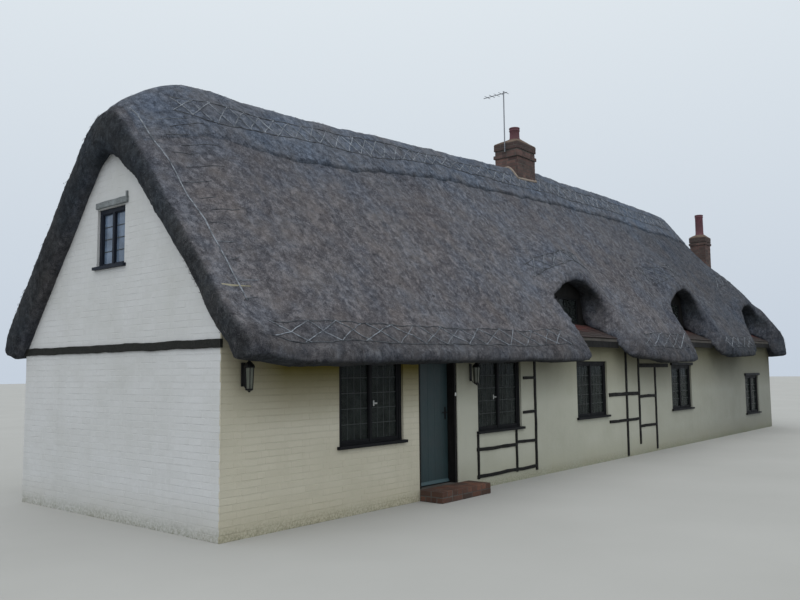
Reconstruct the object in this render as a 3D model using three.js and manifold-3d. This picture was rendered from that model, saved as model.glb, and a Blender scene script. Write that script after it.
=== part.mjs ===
// Thatched cottage: a long low house of painted brick under one deep coat of thatch.
// Frame: millimetres, +Z up, x along the house from the gable end to the hipped end,
// y across the house with the front at negative y. The origin is on the ground,
// under the middle of the thatch.

import * as THREE from 'three';
import { mergeVertices } from 'three/addons/utils/BufferGeometryUtils.js';
import Module from 'manifold-3d';

const wasm = await Module();
wasm.setup();

// Driving dimensions of the house
const houseLength = 20200;
const houseWidth = 4430;
const wallThickness = 300;
const fitGap = 0.4;
const halfWidth = houseWidth / 2;

// Driving dimensions of the thatch
const vergeOverhang = 200;
const frontVergeOverhang = 110;
const farOverhang = 550;
const eaveOverhang = 600;
const coatDepth = 550;
const frontVergeDepth = 430;
const frontVergeArch = 150;
const backDepth = 640;
const backCornerCut = 235;
const rimDrop = 90;
const vergeRimDrop = 220;
const ridgeRounding = 160;
const hipStart = 17700;
const hipSharpness = 8;
const ridgeLine = [[0, 5600], [1200, 5625], [2600, 5630], [4000, 5700], [5600, 5810],
  [10500, 6140], [15700, 6220], [18000, 6180]];
const eaveLine = [[0, 1940], [8000, 2000], [20000, 2190]];

// The near end of the ridge rolls down over the gable
const rollStart = 1200;
const rollLength = 1600;
const rollDrop = 830;
const rollSpread = 510;

// Dormers: distance of each centre from the gable face, and half the width of its gap
const dormerCentres = [8270, 13735, 18850];
const dormerHalfGaps = [1160, 1115, 950];
const dormerLightInsets = [[190, 430], [190, 430], [190, 600]];
const hoodLifts = [500, 610, 460];
const hoodHalfWidth = 1500;
const hoodBackReach = 1500;
const bayRise = 225;
const tileFoot = { behind: -145, above: 97 };
const tileSlope = 283 / 623;
const tileClearance = 15;
const flankFrom = 390;
const flankTo = 240;
const cornerLift = 400;

// Storeys
const floorTop = 150;
const atticFloorBottom = 2050;
const atticFloorTop = 2200;
const wallTop = 2620;
const farWallTop = 2480;

// Door
const doorLeft = 3310;
const doorWidth = 890;
const doorHead = 2030;
const doorRecess = 140;
const doorLeafThickness = 45;
const doorPostWidth = 50;
const doorClearance = 8;

// Windows in the front wall: distance from the gable, width, sill and head heights
const frontWindows = [
  { name: 'front_window_1', from: 1765, width: 1215, sill: 810, head: 1950 },
  { name: 'front_window_2', from: 4725, width: 1245, sill: 805, head: 1950 },
  { name: 'front_window_3', from: 7900, width: 1240, sill: 840, head: 1900 },
  { name: 'front_window_4', from: 12420, width: 1240, sill: 800, head: 1830 },
  { name: 'front_window_5', from: 17780, width: 1240, sill: 460, head: 1540 },
];

// Windows in the back wall, which the photograph does not show
const backWindows = [
  { name: 'back_window_1', from: 2400, width: 1240, sill: 830, head: 1830 },
  { name: 'back_window_2', from: 8200, width: 1240, sill: 830, head: 1830 },
  { name: 'back_window_3', from: 14200, width: 1240, sill: 830, head: 1830 },
];

// Window in the gable, placed across the house
const gableWindow = { y: 35, width: 650, sill: 3062, head: 3834 };

// Window joinery
const frameBorder = 55;
const frameDepth = 70;
const mullionWidth = 45;
const mullionDepth = 34;
const frameRecess = 35;
const glassThickness = 6;

// Chimneys: centre from the gable face and from the ridge, plan size, heights
const chimneys = [
  { name: 'chimney_1', from: 9585, y: 0, length: 730, width: 560,
    band: 6360, cap: 6680, potBottom: 6800, potTop: 7100, potRadius: 122 },
  { name: 'chimney_2', from: 19600, y: -535, length: 460, width: 460,
    band: 5560, cap: 5800, potBottom: 5880, potTop: 6540, potRadius: 130 },
];

const gableFace = -(houseLength + vergeOverhang + farOverhang) / 2 + vergeOverhang;
const farFace = gableFace + houseLength;
const frontFace = -halfWidth;
const eaveReach = halfWidth + eaveOverhang;
const farReach = houseLength + farOverhang;

// Materials
const paint = (color, roughness, metalness = 0) =>
  new THREE.MeshStandardMaterial({ color, roughness, metalness });

const materials = {
  gableBrick: paint(0xe9e4d8, 0.85),
  frontBrick: paint(0xe6dcb4, 0.85),
  render: paint(0xdcd9c4, 0.9),
  thatch: paint(0x6f675f, 1),
  ridgeThatch: paint(0x626469, 1),
  blackTimber: paint(0x1c1b1a, 0.7),
  greyTimber: paint(0x83817b, 0.8),
  windowFrame: paint(0x17191c, 0.5),
  glass: paint(0x5d6f7c, 0.08),
  door: paint(0x3c6064, 0.5),
  iron: paint(0x1a1a1a, 0.5, 0.8),
  clayTile: paint(0x96433a, 0.85),
  brick: paint(0x7c4234, 0.9),
  clayPot: paint(0x9c4a36, 0.85),
  boards: paint(0x6b5238, 0.8),
  stone: paint(0x8f8a80, 0.9),
  aluminium: paint(0x8d9196, 0.4, 0.9),
};

// Place along the house, from a distance measured from the gable face
const along = (distance) => gableFace + distance;

// Solids for cutting and joining
function toSolid(geometry) {
  const bare = geometry.clone();
  bare.deleteAttribute('normal');
  bare.deleteAttribute('uv');
  const merged = mergeVertices(bare, 1e-3);
  return new wasm.Manifold(new wasm.Mesh({
    numProp: 3,
    vertProperties: new Float32Array(merged.attributes.position.array),
    triVerts: new Uint32Array(merged.index.array),
  }));
}

function toGeometry(solid) {
  const mesh = solid.getMesh();
  const geometry = new THREE.BufferGeometry();
  geometry.setAttribute('position', new THREE.BufferAttribute(mesh.vertProperties.slice(), 3));
  geometry.setIndex(new THREE.BufferAttribute(mesh.triVerts.slice(), 1));
  return geometry;
}

const joined = (geometries) =>
  geometries.map(toSolid).reduce((whole, piece) => whole.add(piece));

// A block between two opposite corners
function block([x0, y0, z0], [x1, y1, z1]) {
  const geometry = new THREE.BoxGeometry(x1 - x0, y1 - y0, z1 - z0);
  geometry.translate((x0 + x1) / 2, (y0 + y1) / 2, (z0 + z1) / 2);
  return geometry;
}

const outline = (points) => new THREE.Shape(points.map(([u, v]) => new THREE.Vector2(u, v)));

// An outline in x and z, carried through the wall from y0 to y1
function plateAcross(points, y0, y1) {
  const geometry = new THREE.ExtrudeGeometry(outline(points), { depth: y1 - y0, bevelEnabled: false });
  geometry.applyMatrix4(new THREE.Matrix4().set(1, 0, 0, 0, 0, 0, -1, y1, 0, 1, 0, 0, 0, 0, 0, 1));
  return geometry;
}

// An outline in y and z, carried along the house from x0 to x1
function plateAlong(points, x0, x1) {
  const geometry = new THREE.ExtrudeGeometry(outline(points), { depth: x1 - x0, bevelEnabled: false });
  geometry.applyMatrix4(new THREE.Matrix4().set(0, 0, 1, x0, 1, 0, 0, 0, 0, 1, 0, 0, 0, 0, 0, 1));
  return geometry;
}

// An upright post with few sides
function post(x, y, z0, z1, radius, sides = 8) {
  const geometry = new THREE.CylinderGeometry(radius, radius, z1 - z0, sides);
  geometry.rotateX(Math.PI / 2);
  geometry.translate(x, y, (z0 + z1) / 2);
  return geometry;
}

// A rod with few sides between two points
function rod(start, end, radius, sides = 6) {
  const from = new THREE.Vector3(...start);
  const to = new THREE.Vector3(...end);
  const direction = to.clone().sub(from);
  const geometry = new THREE.CylinderGeometry(radius, radius, direction.length(), sides);
  const turn = new THREE.Quaternion().setFromUnitVectors(new THREE.Vector3(0, 1, 0), direction.normalize());
  geometry.applyQuaternion(turn);
  const middle = from.add(to).multiplyScalar(0.5);
  geometry.translate(middle.x, middle.y, middle.z);
  return geometry;
}

// Roof surface
function readLine(line, distance) {
  const last = line.length - 1;
  const at = THREE.MathUtils.clamp(distance, line[0][0], line[last][0]);
  const right = Math.max(1, line.findIndex(([d]) => d >= at));
  const [d0, z0] = line[right - 1];
  const [d1, z1] = line[right];
  return z0 + (z1 - z0) * (at - d0) / (d1 - d0);
}

// How far the thatch is lifted over the dormers
function hoodRise(distance, behindFront) {
  const back = THREE.MathUtils.smoothstep(hoodBackReach - behindFront, 0, hoodBackReach - 100);
  const front = THREE.MathUtils.clamp((behindFront + 450) / 450, 0, 1);
  return dormerCentres.reduce((rise, centre, i) => {
    const across = Math.min(1, Math.abs(distance - centre) / hoodHalfWidth);
    return rise + hoodLifts[i] * (1 - across ** 2) ** 2 * back * front;
  }, 0);
}

// How much fuller the last lobe is, at the front corner of the hipped end
function cornerRise(distance, behindFront) {
  const { smoothstep } = THREE.MathUtils;
  const lengthwise = smoothstep(distance, 19300, 19950) * (1 - smoothstep(distance, 20350, farReach));
  const across = smoothstep(behindFront, -eaveOverhang, -400) * (1 - smoothstep(behindFront, -100, 700));
  return cornerLift * lengthwise * across;
}

// Height of the outer face of the thatch over a place on the plan
function thatchTop(distance, y) {
  const roll = Math.max(0, rollStart - distance) / rollLength;
  const ridge = readLine(ridgeLine, distance);
  const eave = readLine(eaveLine, distance);
  const planeTop = ridge + ridgeRounding - rollSpread * roll ** 1.3;
  const crest = ridge - rollDrop * roll ** 2;
  const slope = (planeTop - eave) / eaveReach;
  const sideFall = slope * Math.abs(y);
  const hipFall = slope * eaveReach * Math.max(0, distance - hipStart) / (farReach - hipStart);
  const fall = (sideFall ** hipSharpness + hipFall ** hipSharpness) ** (1 / hipSharpness);
  const rounded = Math.cbrt((planeTop - crest) ** 3 + fall ** 3);
  return planeTop - rounded + hoodRise(distance, y - frontFace) + cornerRise(distance, y - frontFace);
}

const bayTop = (centre) => readLine(eaveLine, centre) + bayRise;

// At the far side of each dormer the thatch turns down to the tiles: how deep it is there
function flankDepth(distance, y) {
  const behind = y - frontFace;
  return dormerCentres.reduce((deepest, centre, i) => {
    const side = distance - centre - dormerHalfGaps[i];
    const fromGap = THREE.MathUtils.smoothstep(side, -flankFrom, -flankTo);
    const across = fromGap * (1 - THREE.MathUtils.smoothstep(side, 0, 450));
    const back = 1 - THREE.MathUtils.smoothstep(behind, 480, 1000);
    const tile = bayTop(centre) + tileFoot.above + tileSlope * (behind - tileFoot.behind);
    const reach = thatchTop(distance, y) - tile - tileClearance - coatDepth;
    return Math.max(deepest, coatDepth + Math.max(0, reach) * across * back);
  }, 0);
}

// Depth of the coat: it is thicker at the back, and thinner at the front verge, which is
// hollowed below between the ridge and the eave
function coatDepthAt(distance, y) {
  const { smoothstep } = THREE.MathUtils;
  const away = Math.min(1, Math.abs(y) / 800);
  if (y > 0) return coatDepth + (backDepth - coatDepth) * away;
  const atVerge = 1 - smoothstep(distance, 0, 200);
  const arch = smoothstep(-y, 100, 600) * (1 - smoothstep(-y, 1300, halfWidth));
  const thinner = (coatDepth - frontVergeDepth) * away + frontVergeArch * arch;
  const plain = coatDepth - thinner * atVerge;
  return Math.max(plain + cornerRise(distance, y - frontFace), flankDepth(distance, y));
}

// Edge of the thatch in plan: [distance, y] of the rim, of the top edge and of the lower edge,
// with the place on the ridge that the row of straw runs up to
function lobePoint(distance, crest = distance, reach = eaveReach) {
  const rim = -reach;
  return { rim: [distance, rim], top: [distance, rim + 30], under: [distance, rim + 300], crest };
}

// The gap of a dormer, from its left corner round the hood to the lobe at its right: offset from
// the side of the gap, depth behind the wall face, the same for the lower edge, and the offset
// of the place on the ridge where that differs. The lobe before the first gap widens to its foot,
// and the one before the last gap has a rounded corner.
const firstGapLeft = [[200, -600, 60, -300, -1600], [310, -560, 150, -280, -1530],
  [320, -450, 170, -230, -1460], [250, -300, 120, -130, -1380], [150, -130, 60, 0, -1310],
  [140, 20, 10, 150, -720], [175, 80, 120, 330, -250]];
const gapLeft = [[-150, -600, -150, -300], [-40, -570, -100, -290], [0, -470, -70, -250],
  [10, -200, -60, -80], [40, -10, -30, 120], [150, 70, 120, 330]];
const lastGapLeft = [[-1100, -600, -1100, -300], [-680, -510, -720, -270], [-370, -350, -450, -190],
  [-250, -180, -330, -70], [40, -10, -30, 120], [150, 70, 120, 330]];
const gapRight = [[150, 60, 210, 330], [30, -30, 180, 120], [-10, -180, 140, -60],
  [-120, -330, 60, -170], [-330, -470, -130, -260], [-650, -600, -500, -300]];
const lastGapRight = [[150, 60, 200, 330], [30, -30, 100, 120], [-10, -180, 40, -60],
  [-70, -330, -40, -170], [-160, -440, -120, -260]];

function dormerPoints(centre, halfGap, leftPoints, rightPoints) {
  const point = (offset, [rim, rimBehind, under, underBehind, crest = rim]) => ({
    rim: [centre + offset(rim), frontFace + rimBehind],
    top: [centre + offset(rim), frontFace + rimBehind + 20],
    under: [centre + offset(under), frontFace + underBehind],
    crest: centre + offset(crest),
  });
  const hood = [-0.48 * halfGap, 0, 0.35 * halfGap, halfGap - flankFrom];
  return [
    ...leftPoints.map((values) => point((offset) => offset - halfGap, values)),
    ...hood.map((across) => point((offset) => offset, [across, 90, across, 430])),
    ...rightPoints.map((values) => point((offset) => halfGap - offset, values)),
  ];
}

// The rounded corner and the straight eave of the hipped end, for one half of the house
function hipPoint(angle) {
  const reachAlong = farReach - hipStart;
  const at = (inset) => [
    hipStart + (reachAlong - inset) * Math.cos(angle) ** (2 / hipSharpness),
    -(eaveReach - inset) * Math.sin(angle) ** (2 / hipSharpness),
  ];
  return { rim: at(0), top: at(30), under: at(300), crest: at(320)[0] };
}

function frontEdge() {
  const leftRows = [firstGapLeft, gapLeft, lastGapLeft];
  const points = [100, 500, 900, 1300, 2600, 4200].map((distance) => lobePoint(distance));
  points.push(lobePoint(5800, 4950), lobePoint(6700, 5400));
  dormerCentres.forEach((centre, i) => {
    const atCorner = i === dormerCentres.length - 1;
    const right = atCorner ? lastGapRight : gapRight;
    points.push(...dormerPoints(centre, dormerHalfGaps[i], leftRows[i], right));
    if (!atCorner) {
      const [nextFoot] = leftRows[i + 1][0];
      points.push(lobePoint(dormerCentres[i + 1] - dormerHalfGaps[i + 1] + nextFoot - 550));
    }
  });
  const angles = [60, 50, 40, 29, 18, 8, 1].map(THREE.MathUtils.degToRad);
  return [...points, ...angles.map(hipPoint)];
}

// The back eave is shorter at the gable
const backReach = (distance) =>
  eaveReach - backCornerCut * (1 - THREE.MathUtils.smoothstep(distance, 300, 2300));

function backEdge(front) {
  return front.map((point) => {
    const onHip = point.rim[0] > hipStart;
    const distance = onHip ? point.rim[0] : point.crest;
    const share = (distance - hipStart) / (farReach - hipStart);
    const angle = onHip ? Math.acos(share ** (hipSharpness / 2)) : 0;
    const plain = onHip ? hipPoint(angle) : lobePoint(distance, distance, backReach(distance));
    const mirror = ([d, y]) => [d, -y];
    return { rim: mirror(plain.rim), top: mirror(plain.top), under: mirror(plain.under), crest: point.crest };
  });
}

// Columns of plan points from the edge up to the ridge; the first column is the verge of the gable
function slopeColumns(edge, rows) {
  const side = Math.sign(edge[0].rim[1]);
  const column = (start, crest) => {
    const places = [];
    for (let j = 0; j <= rows; j += 1) {
      const share = j / rows;
      places.push([start[0] + (crest - start[0]) * share, start[1] * (1 - share)]);
    }
    return places;
  };
  const columns = edge.map((point) => ({
    top: column(point.top, point.crest),
    under: column(point.under, point.crest),
    rim: [point.rim],
  }));
  const overhang = side > 0 ? vergeOverhang : frontVergeOverhang;
  const reach = side > 0 ? backReach(0) : eaveReach;
  const straight = (inset, end) => column([inset - overhang, side * end], inset - vergeOverhang);
  const vergeColumn = {
    top: straight(60, reach - 40),
    under: straight(50, reach - 300),
    rim: straight(0, reach - 40),
  };
  return [vergeColumn, ...columns];
}

const outerPoint = ([d, y]) => [along(d), y, thatchTop(d, y)];
const underPoint = ([d, y]) => [along(d), y, thatchTop(d, y) - coatDepthAt(d, y)];
const rimPoint = ([d, y]) => [along(d), y, thatchTop(d, y) - rimDrop - cornerRise(d, y - frontFace)];
const vergeRimPoint = ([d, y]) => [along(d), y, thatchTop(d, y) - vergeRimDrop];

// The coat as one closed surface, with its outer face raised where it is used to cut other pieces
function thatchGeometry(raise = 0) {
  const crownPoint = (place) => {
    const [x, y, z] = outerPoint(place);
    return [x, y, z + raise];
  };
  const front = frontEdge();
  const sides = [slopeColumns(front, 8), slopeColumns(backEdge(front), 8)];
  const triangles = [];
  const quad = (a, b, c, d) => triangles.push([a, b, c], [a, c, d]);
  const strip = (lower, upper) => {
    for (let i = 0; i + 1 < lower.length; i += 1) quad(lower[i], lower[i + 1], upper[i + 1], upper[i]);
  };
  sides.forEach((columns, side) => {
    const facing = side === 0 ? (lower, upper) => strip(lower, upper) : (lower, upper) => strip(upper, lower);
    for (let i = 0; i + 1 < columns.length; i += 1) {
      facing(columns[i].top.map(crownPoint).reverse(), columns[i + 1].top.map(crownPoint).reverse());
      facing(columns[i + 1].under.map(underPoint).reverse(), columns[i].under.map(underPoint).reverse());
    }
    const topLoop = columns.map((column) => crownPoint(column.top[0]));
    const underLoop = columns.map((column) => underPoint(column.under[0]));
    const rimLoop = columns.map((column, i) => (i === 0 ? vergeRimPoint : rimPoint)(column.rim[0]));
    facing(rimLoop, topLoop);
    facing(underLoop, rimLoop);
    const verge = columns[0];
    const vergeRim = verge.rim.map(vergeRimPoint);
    facing(verge.top.map(crownPoint), vergeRim);
    facing(vergeRim, verge.under.map(underPoint));
  });
  const [frontTip, backTip] = sides.map((columns) => columns[columns.length - 1]);
  const tips = (pick, lift) => [lift(frontTip[pick][0]), lift(backTip[pick][0])];
  quad(...tips('rim', rimPoint), ...tips('top', crownPoint).reverse());
  quad(...tips('under', underPoint), ...tips('rim', rimPoint).reverse());
  triangles.push(...wedge(frontTip.top.map(crownPoint), backTip.top.map(crownPoint)));
  const lowerWedge = wedge(frontTip.under.map(underPoint), backTip.under.map(underPoint));
  triangles.push(...lowerWedge.map(([a, b, c]) => [a, c, b]));
  return closedSurface(triangles);
}

// The narrow wedge between the last column of the front and of the back
function wedge(frontColumn, backColumn) {
  const triangles = [];
  let i = 0;
  let j = 0;
  while (i < frontColumn.length - 1 || j < backColumn.length - 1) {
    const frontShare = i / (frontColumn.length - 1);
    const backShare = j / (backColumn.length - 1);
    if (frontShare <= backShare && i < frontColumn.length - 1) {
      triangles.push([frontColumn[i], backColumn[j], frontColumn[i + 1]]);
      i += 1;
    } else {
      triangles.push([frontColumn[i], backColumn[j], backColumn[j + 1]]);
      j += 1;
    }
  }
  return triangles;
}

// Joins triangles given by their corner points, and leaves out those with no area
function closedSurface(triangles) {
  const keys = new Map();
  const positions = [];
  const index = [];
  const vertex = (point) => {
    const key = point.map((value) => Math.round(value * 100)).join(',');
    if (!keys.has(key)) {
      keys.set(key, positions.length / 3);
      positions.push(...point);
    }
    return keys.get(key);
  };
  triangles.forEach((corners) => {
    const [a, b, c] = corners.map(vertex);
    if (a !== b && b !== c && c !== a) index.push(a, b, c);
  });
  const geometry = new THREE.BufferGeometry();
  geometry.setAttribute('position', new THREE.Float32BufferAttribute(positions, 3));
  geometry.setIndex(index);
  return geometry;
}

// The coat, and the space that it and everything over it fill, moved a little
// so that a piece cut with them stays clear of the coat below, beside and above
const coat = thatchGeometry();
const aboveRoof = 3000;
const aboveUnderside = thatchGeometry(aboveRoof);
const [leftOfCoat, rightOfCoat] = [-fitGap, fitGap].map((dx) =>
  toSolid(aboveUnderside.clone().translate(dx, -0.3 * fitGap, -1.3 * fitGap)));
const underThatch = (solid) => solid.subtract(leftOfCoat).subtract(rightOfCoat);
const behindCoat = toSolid(aboveUnderside.clone().translate(0, fitGap, -1.3 * fitGap));
const beforeCoat = toSolid(aboveUnderside.clone().translate(0, -fitGap, -1.3 * fitGap));
const besideFlank = (solid) => underThatch(solid).subtract(behindCoat).subtract(beforeCoat);
const raisedCoat = toSolid(coat.clone().translate(0, 0, fitGap));

// Chimney stacks, from the floor up through the thatch
const stackBox = ({ from, y, length, width }, gap, z0, z1) => block(
  [along(from) - length / 2 - gap, y - width / 2 - gap, z0],
  [along(from) + length / 2 + gap, y + width / 2 + gap, z1],
);
const stackHole = (solid) => chimneys.reduce(
  (rest, chimney) => rest.subtract(toSolid(stackBox(chimney, fitGap, -100, 9000))),
  solid,
);

const cottage = new THREE.Group();

function addPiece(name, geometry, material) {
  const mesh = new THREE.Mesh(geometry, material);
  mesh.name = name;
  cottage.add(mesh);
}

// Thatch: the front and the back slope meet at the ridge, and the hipped end is a third piece
const cutX = along(17300);
const coatSolid = stackHole(toSolid(coat));
const region = (from, to) => coatSolid.intersect(toSolid(block(from, to)));
const halfCut = fitGap / 2;
addPiece('thatch_front_slope', toGeometry(region([-12000, -4000, 0], [cutX - halfCut, -halfCut, 8000])),
  materials.thatch);
addPiece('thatch_back_slope', toGeometry(region([-12000, halfCut, 0], [cutX - halfCut, 4000, 8000])),
  materials.thatch);
addPiece('thatch_hipped_end', toGeometry(region([cutX + halfCut, -4000, 0], [12000, 4000, 8000])),
  materials.thatch);

// Ridge cap: a second layer of straw bent over the ridge
const capHalfWidth = 720;
const capDepth = 75;
const capFrom = 60;
const capTo = 18150;
const capSteps = 30;

function ridgeCapGeometry() {
  const across = [-1, -0.96, -0.5, 0, 0.5, 0.96, 1].map((share) => share * capHalfWidth);
  const lift = (share) => (Math.abs(share) === capHalfWidth ? 10 : capDepth);
  const triangles = [];
  const sections = [];
  for (let i = 0; i <= capSteps; i += 1) {
    const distance = capFrom + (capTo - capFrom) * (i / capSteps) ** 1.15;
    const edge = i === 0 || i === capSteps ? 0.3 : 1;
    sections.push({
      top: across.map((y) => [along(distance), y, thatchTop(distance, y) + lift(y) * edge]),
      bottom: across.map((y) => [along(distance), y, thatchTop(distance, y) - 150]),
    });
  }
  const quad = (a, b, c, d) => triangles.push([a, b, c], [a, c, d]);
  for (let i = 0; i < capSteps; i += 1) {
    const here = sections[i];
    const next = sections[i + 1];
    for (let j = 0; j + 1 < across.length; j += 1) {
      quad(here.top[j], next.top[j], next.top[j + 1], here.top[j + 1]);
      quad(here.bottom[j + 1], next.bottom[j + 1], next.bottom[j], here.bottom[j]);
    }
    const last = across.length - 1;
    quad(here.bottom[0], next.bottom[0], next.top[0], here.top[0]);
    quad(here.top[last], next.top[last], next.bottom[last], here.bottom[last]);
  }
  const closeEnd = (section, reversed) => {
    for (let j = 0; j + 1 < across.length; j += 1) {
      const face = [section.bottom[j], section.top[j], section.top[j + 1], section.bottom[j + 1]];
      quad(...(reversed ? face.reverse() : face));
    }
  };
  closeEnd(sections[0], false);
  closeEnd(sections[capSteps], true);
  return closedSurface(triangles);
}

const capSolid = stackHole(toSolid(ridgeCapGeometry()).subtract(raisedCoat));
addPiece('ridge_cap', toGeometry(capSolid), materials.ridgeThatch);

// Walls. Each keeps clear of the thatch, which it carries.
const openingBlock = ({ from, width, sill, head }) =>
  block([along(from), -3000, sill], [along(from) + width, 3000, head]);
const cutOpenings = (solid, openings) =>
  openings.reduce((rest, opening) => rest.subtract(toSolid(opening)), solid);
const within = (from, to) => (window) => window.from > from && window.from < to;
const bayMargin = 70;
const bayEndLength = 150;
const bayEndDrop = 160;

// A length of front wall: its top steps down under each dormer
function frontWallLength(from, to) {
  const top = [[from, wallTop]];
  dormerCentres.forEach((centre, i) => {
    const reach = dormerHalfGaps[i] + bayMargin;
    if (centre < from || centre > to) return;
    top.push([centre - reach, wallTop], [centre - reach, bayTop(centre)]);
    if (centre + reach < to) top.push([centre + reach, bayTop(centre)], [centre + reach, wallTop]);
    else {
      const step = [to - bayEndLength, bayTop(centre) - bayEndDrop];
      top.push([step[0], bayTop(centre)], step, [to, step[1]]);
    }
  });
  if (top[top.length - 1][0] < to) top.push([to, wallTop]);
  const points = [[from, 0], [to, 0], ...top.reverse()].map(([d, z]) => [along(d), z]);
  const wall = toSolid(plateAcross(points, frontFace, frontFace + wallThickness));
  return cutOpenings(wall, frontWindows.filter(within(from, to)).map(openingBlock));
}

const inner = wallThickness + fitGap;
const doorRight = doorLeft + doorWidth;
const wallBreak = 9950;
const addWall = (name, solid, material) =>
  addPiece(name, toGeometry(stackHole(underThatch(solid))), material);
addWall('front_wall_left', frontWallLength(inner, doorLeft), materials.frontBrick);
addWall('front_wall_middle', frontWallLength(doorRight, wallBreak), materials.render);
addWall('front_wall_right', frontWallLength(wallBreak + fitGap, houseLength - inner), materials.render);
addWall('front_wall_over_door', toSolid(block(
  [along(doorLeft) + fitGap, frontFace, doorHead],
  [along(doorRight) - fitGap, frontFace + wallThickness, wallTop],
)), materials.frontBrick);

const gableSteps = 12;
const gableOutline = [[halfWidth, 0], [-halfWidth, 0]];
for (let i = 0; i <= gableSteps; i += 1) {
  const y = -halfWidth + houseWidth * i / gableSteps;
  gableOutline.push([y, thatchTop(wallThickness / 2, y) - coatDepth / 2]);
}
const gableOpening = block(
  [gableFace - 100, gableWindow.y - gableWindow.width / 2, gableWindow.sill],
  [gableFace + 400, gableWindow.y + gableWindow.width / 2, gableWindow.head],
);
const gableSlab = toSolid(plateAlong(gableOutline.reverse(), gableFace, gableFace + wallThickness));
addWall('gable_wall', cutOpenings(gableSlab, [gableOpening]), materials.gableBrick);
addWall('far_end_wall', toSolid(block(
  [farFace - wallThickness, -halfWidth, 0],
  [farFace, halfWidth, farWallTop],
)), materials.render);

function backWallLength(from, to) {
  const wall = toSolid(block([along(from), halfWidth - wallThickness, 0], [along(to), halfWidth, wallTop]));
  return cutOpenings(wall, backWindows.filter(within(from, to)).map(openingBlock));
}
addWall('back_wall_left', backWallLength(inner, wallBreak), materials.render);
addWall('back_wall_right', backWallLength(wallBreak + fitGap, houseLength - inner), materials.render);

// Floors
const floorBlock = (z0, z1) => stackHole(toSolid(block(
  [along(inner), frontFace + inner, z0],
  [along(houseLength - inner), halfWidth - inner, z1],
)));
addPiece('ground_floor', toGeometry(floorBlock(0, floorTop)), materials.stone);
addPiece('attic_floor', toGeometry(floorBlock(atticFloorBottom, atticFloorTop)), materials.boards);

// Chimneys
chimneys.forEach((chimney) => {
  const { name, band, cap, potBottom, potTop, potRadius } = chimney;
  const x = along(chimney.from);
  const flaunching = new THREE.CylinderGeometry(potRadius + 20, chimney.width * 0.62, potBottom - cap + 5, 4);
  flaunching.rotateX(Math.PI / 2);
  flaunching.rotateZ(Math.PI / 4);
  flaunching.translate(x, chimney.y, (potBottom + cap - 5) / 2);
  const stack = joined([
    stackBox(chimney, 0, 0, cap),
    stackBox(chimney, 28, band, band + 75),
    stackBox(chimney, 18, cap - 130, cap),
    flaunching,
  ]);
  addPiece(`${name}_stack`, toGeometry(stack), materials.brick);
  const profile = [
    [potRadius - 30, 0], [potRadius, 0], [potRadius - 10, 60], [potRadius - 16, potTop - potBottom - 60],
    [potRadius - 4, potTop - potBottom - 50], [potRadius - 4, potTop - potBottom],
    [potRadius - 34, potTop - potBottom], [potRadius - 30, 0],
  ].map(([r, z]) => new THREE.Vector2(r, z));
  const pot = new THREE.LatheGeometry(profile, 12);
  pot.rotateX(Math.PI / 2);
  pot.translate(x, chimney.y, potBottom + fitGap);
  addPiece(`${name}_pot`, pot, materials.clayPot);
});

// Aerial on the near face of the first chimney
const aerialX = along(chimneys[0].from) - chimneys[0].length / 2 - 50;
const mastTop = 7830;
const boomHeight = 7790;
const aerialBrackets = [6500, 6600].map((z) =>
  block([aerialX - 8, -12, z], [aerialX + 50 - 18 - fitGap, 12, z + 24]));
const aerialElements = [-60, 60, 180, 300, 420].map((y) =>
  rod([aerialX - 110, y, boomHeight], [aerialX + 110, y, boomHeight], 6));
addPiece('aerial', toGeometry(joined([
  post(aerialX, 0, 6480, mastTop, 13),
  rod([aerialX, -90, boomHeight], [aerialX, 520, boomHeight], 9),
  ...aerialBrackets,
  ...aerialElements,
])), materials.aluminium);

// Windows: a frame with a mullion, and one sheet of glass behind it.
// They are made with the outside at negative y, and then turned to their wall.
function windowFrame(width, height, sillEars) {
  const w = width / 2 - fitGap;
  const h = height - fitGap;
  const slab = toSolid(block([-w, 0, fitGap], [w, frameDepth, h]));
  const light = block(
    [-w + frameBorder, -10, fitGap + frameBorder],
    [w - frameBorder, frameDepth + 10, h - frameBorder],
  );
  const rim = cutOpenings(slab, [light]);
  const mullion = block([-mullionWidth / 2, 0, 20], [mullionWidth / 2, mullionDepth, height - 20]);
  const sillFront = -frameRecess - 45;
  const sill = block([-w, sillFront, fitGap], [w, 20, 38]);
  const ears = block([-w - sillEars, sillFront, fitGap], [w + sillEars, -frameRecess - fitGap, 38]);
  return toGeometry(rim.add(joined([mullion, sill, ears])));
}

function windowGlass(width, height) {
  const w = width / 2 - frameBorder - 2 * fitGap;
  const front = mullionDepth + fitGap;
  return block([-w, front, frameBorder + 2 * fitGap],
    [w, front + glassThickness, height - frameBorder - 2 * fitGap]);
}

function addWindow(name, width, height, turn, place) {
  const set = (geometry) => geometry.rotateZ(turn).translate(...place);
  addPiece(`${name}_frame`, set(windowFrame(width, height, 40)), materials.windowFrame);
  addPiece(`${name}_glass`, set(windowGlass(width, height)), materials.glass);
}

frontWindows.forEach(({ name, from, width, sill, head }) => {
  addWindow(name, width, head - sill, 0, [along(from) + width / 2, frontFace + frameRecess, sill]);
});
backWindows.forEach(({ name, from, width, sill, head }) => {
  addWindow(name, width, head - sill, Math.PI, [along(from) + width / 2, halfWidth - frameRecess, sill]);
});
addWindow('gable_window', gableWindow.width, gableWindow.head - gableWindow.sill, -Math.PI / 2,
  [gableFace + frameRecess, gableWindow.y, gableWindow.sill]);

// Timber on the gable
const gableBeam = block([gableFace - 30, -halfWidth - 25, 2015], [gableFace - fitGap, halfWidth, 2110]);
addPiece('gable_beam', toGeometry(underThatch(toSolid(gableBeam))), materials.blackTimber);
addPiece('gable_lintel_board', block([gableFace - 30, -360, 3842], [gableFace - fitGap, 365, 3925]),
  materials.greyTimber);

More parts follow.
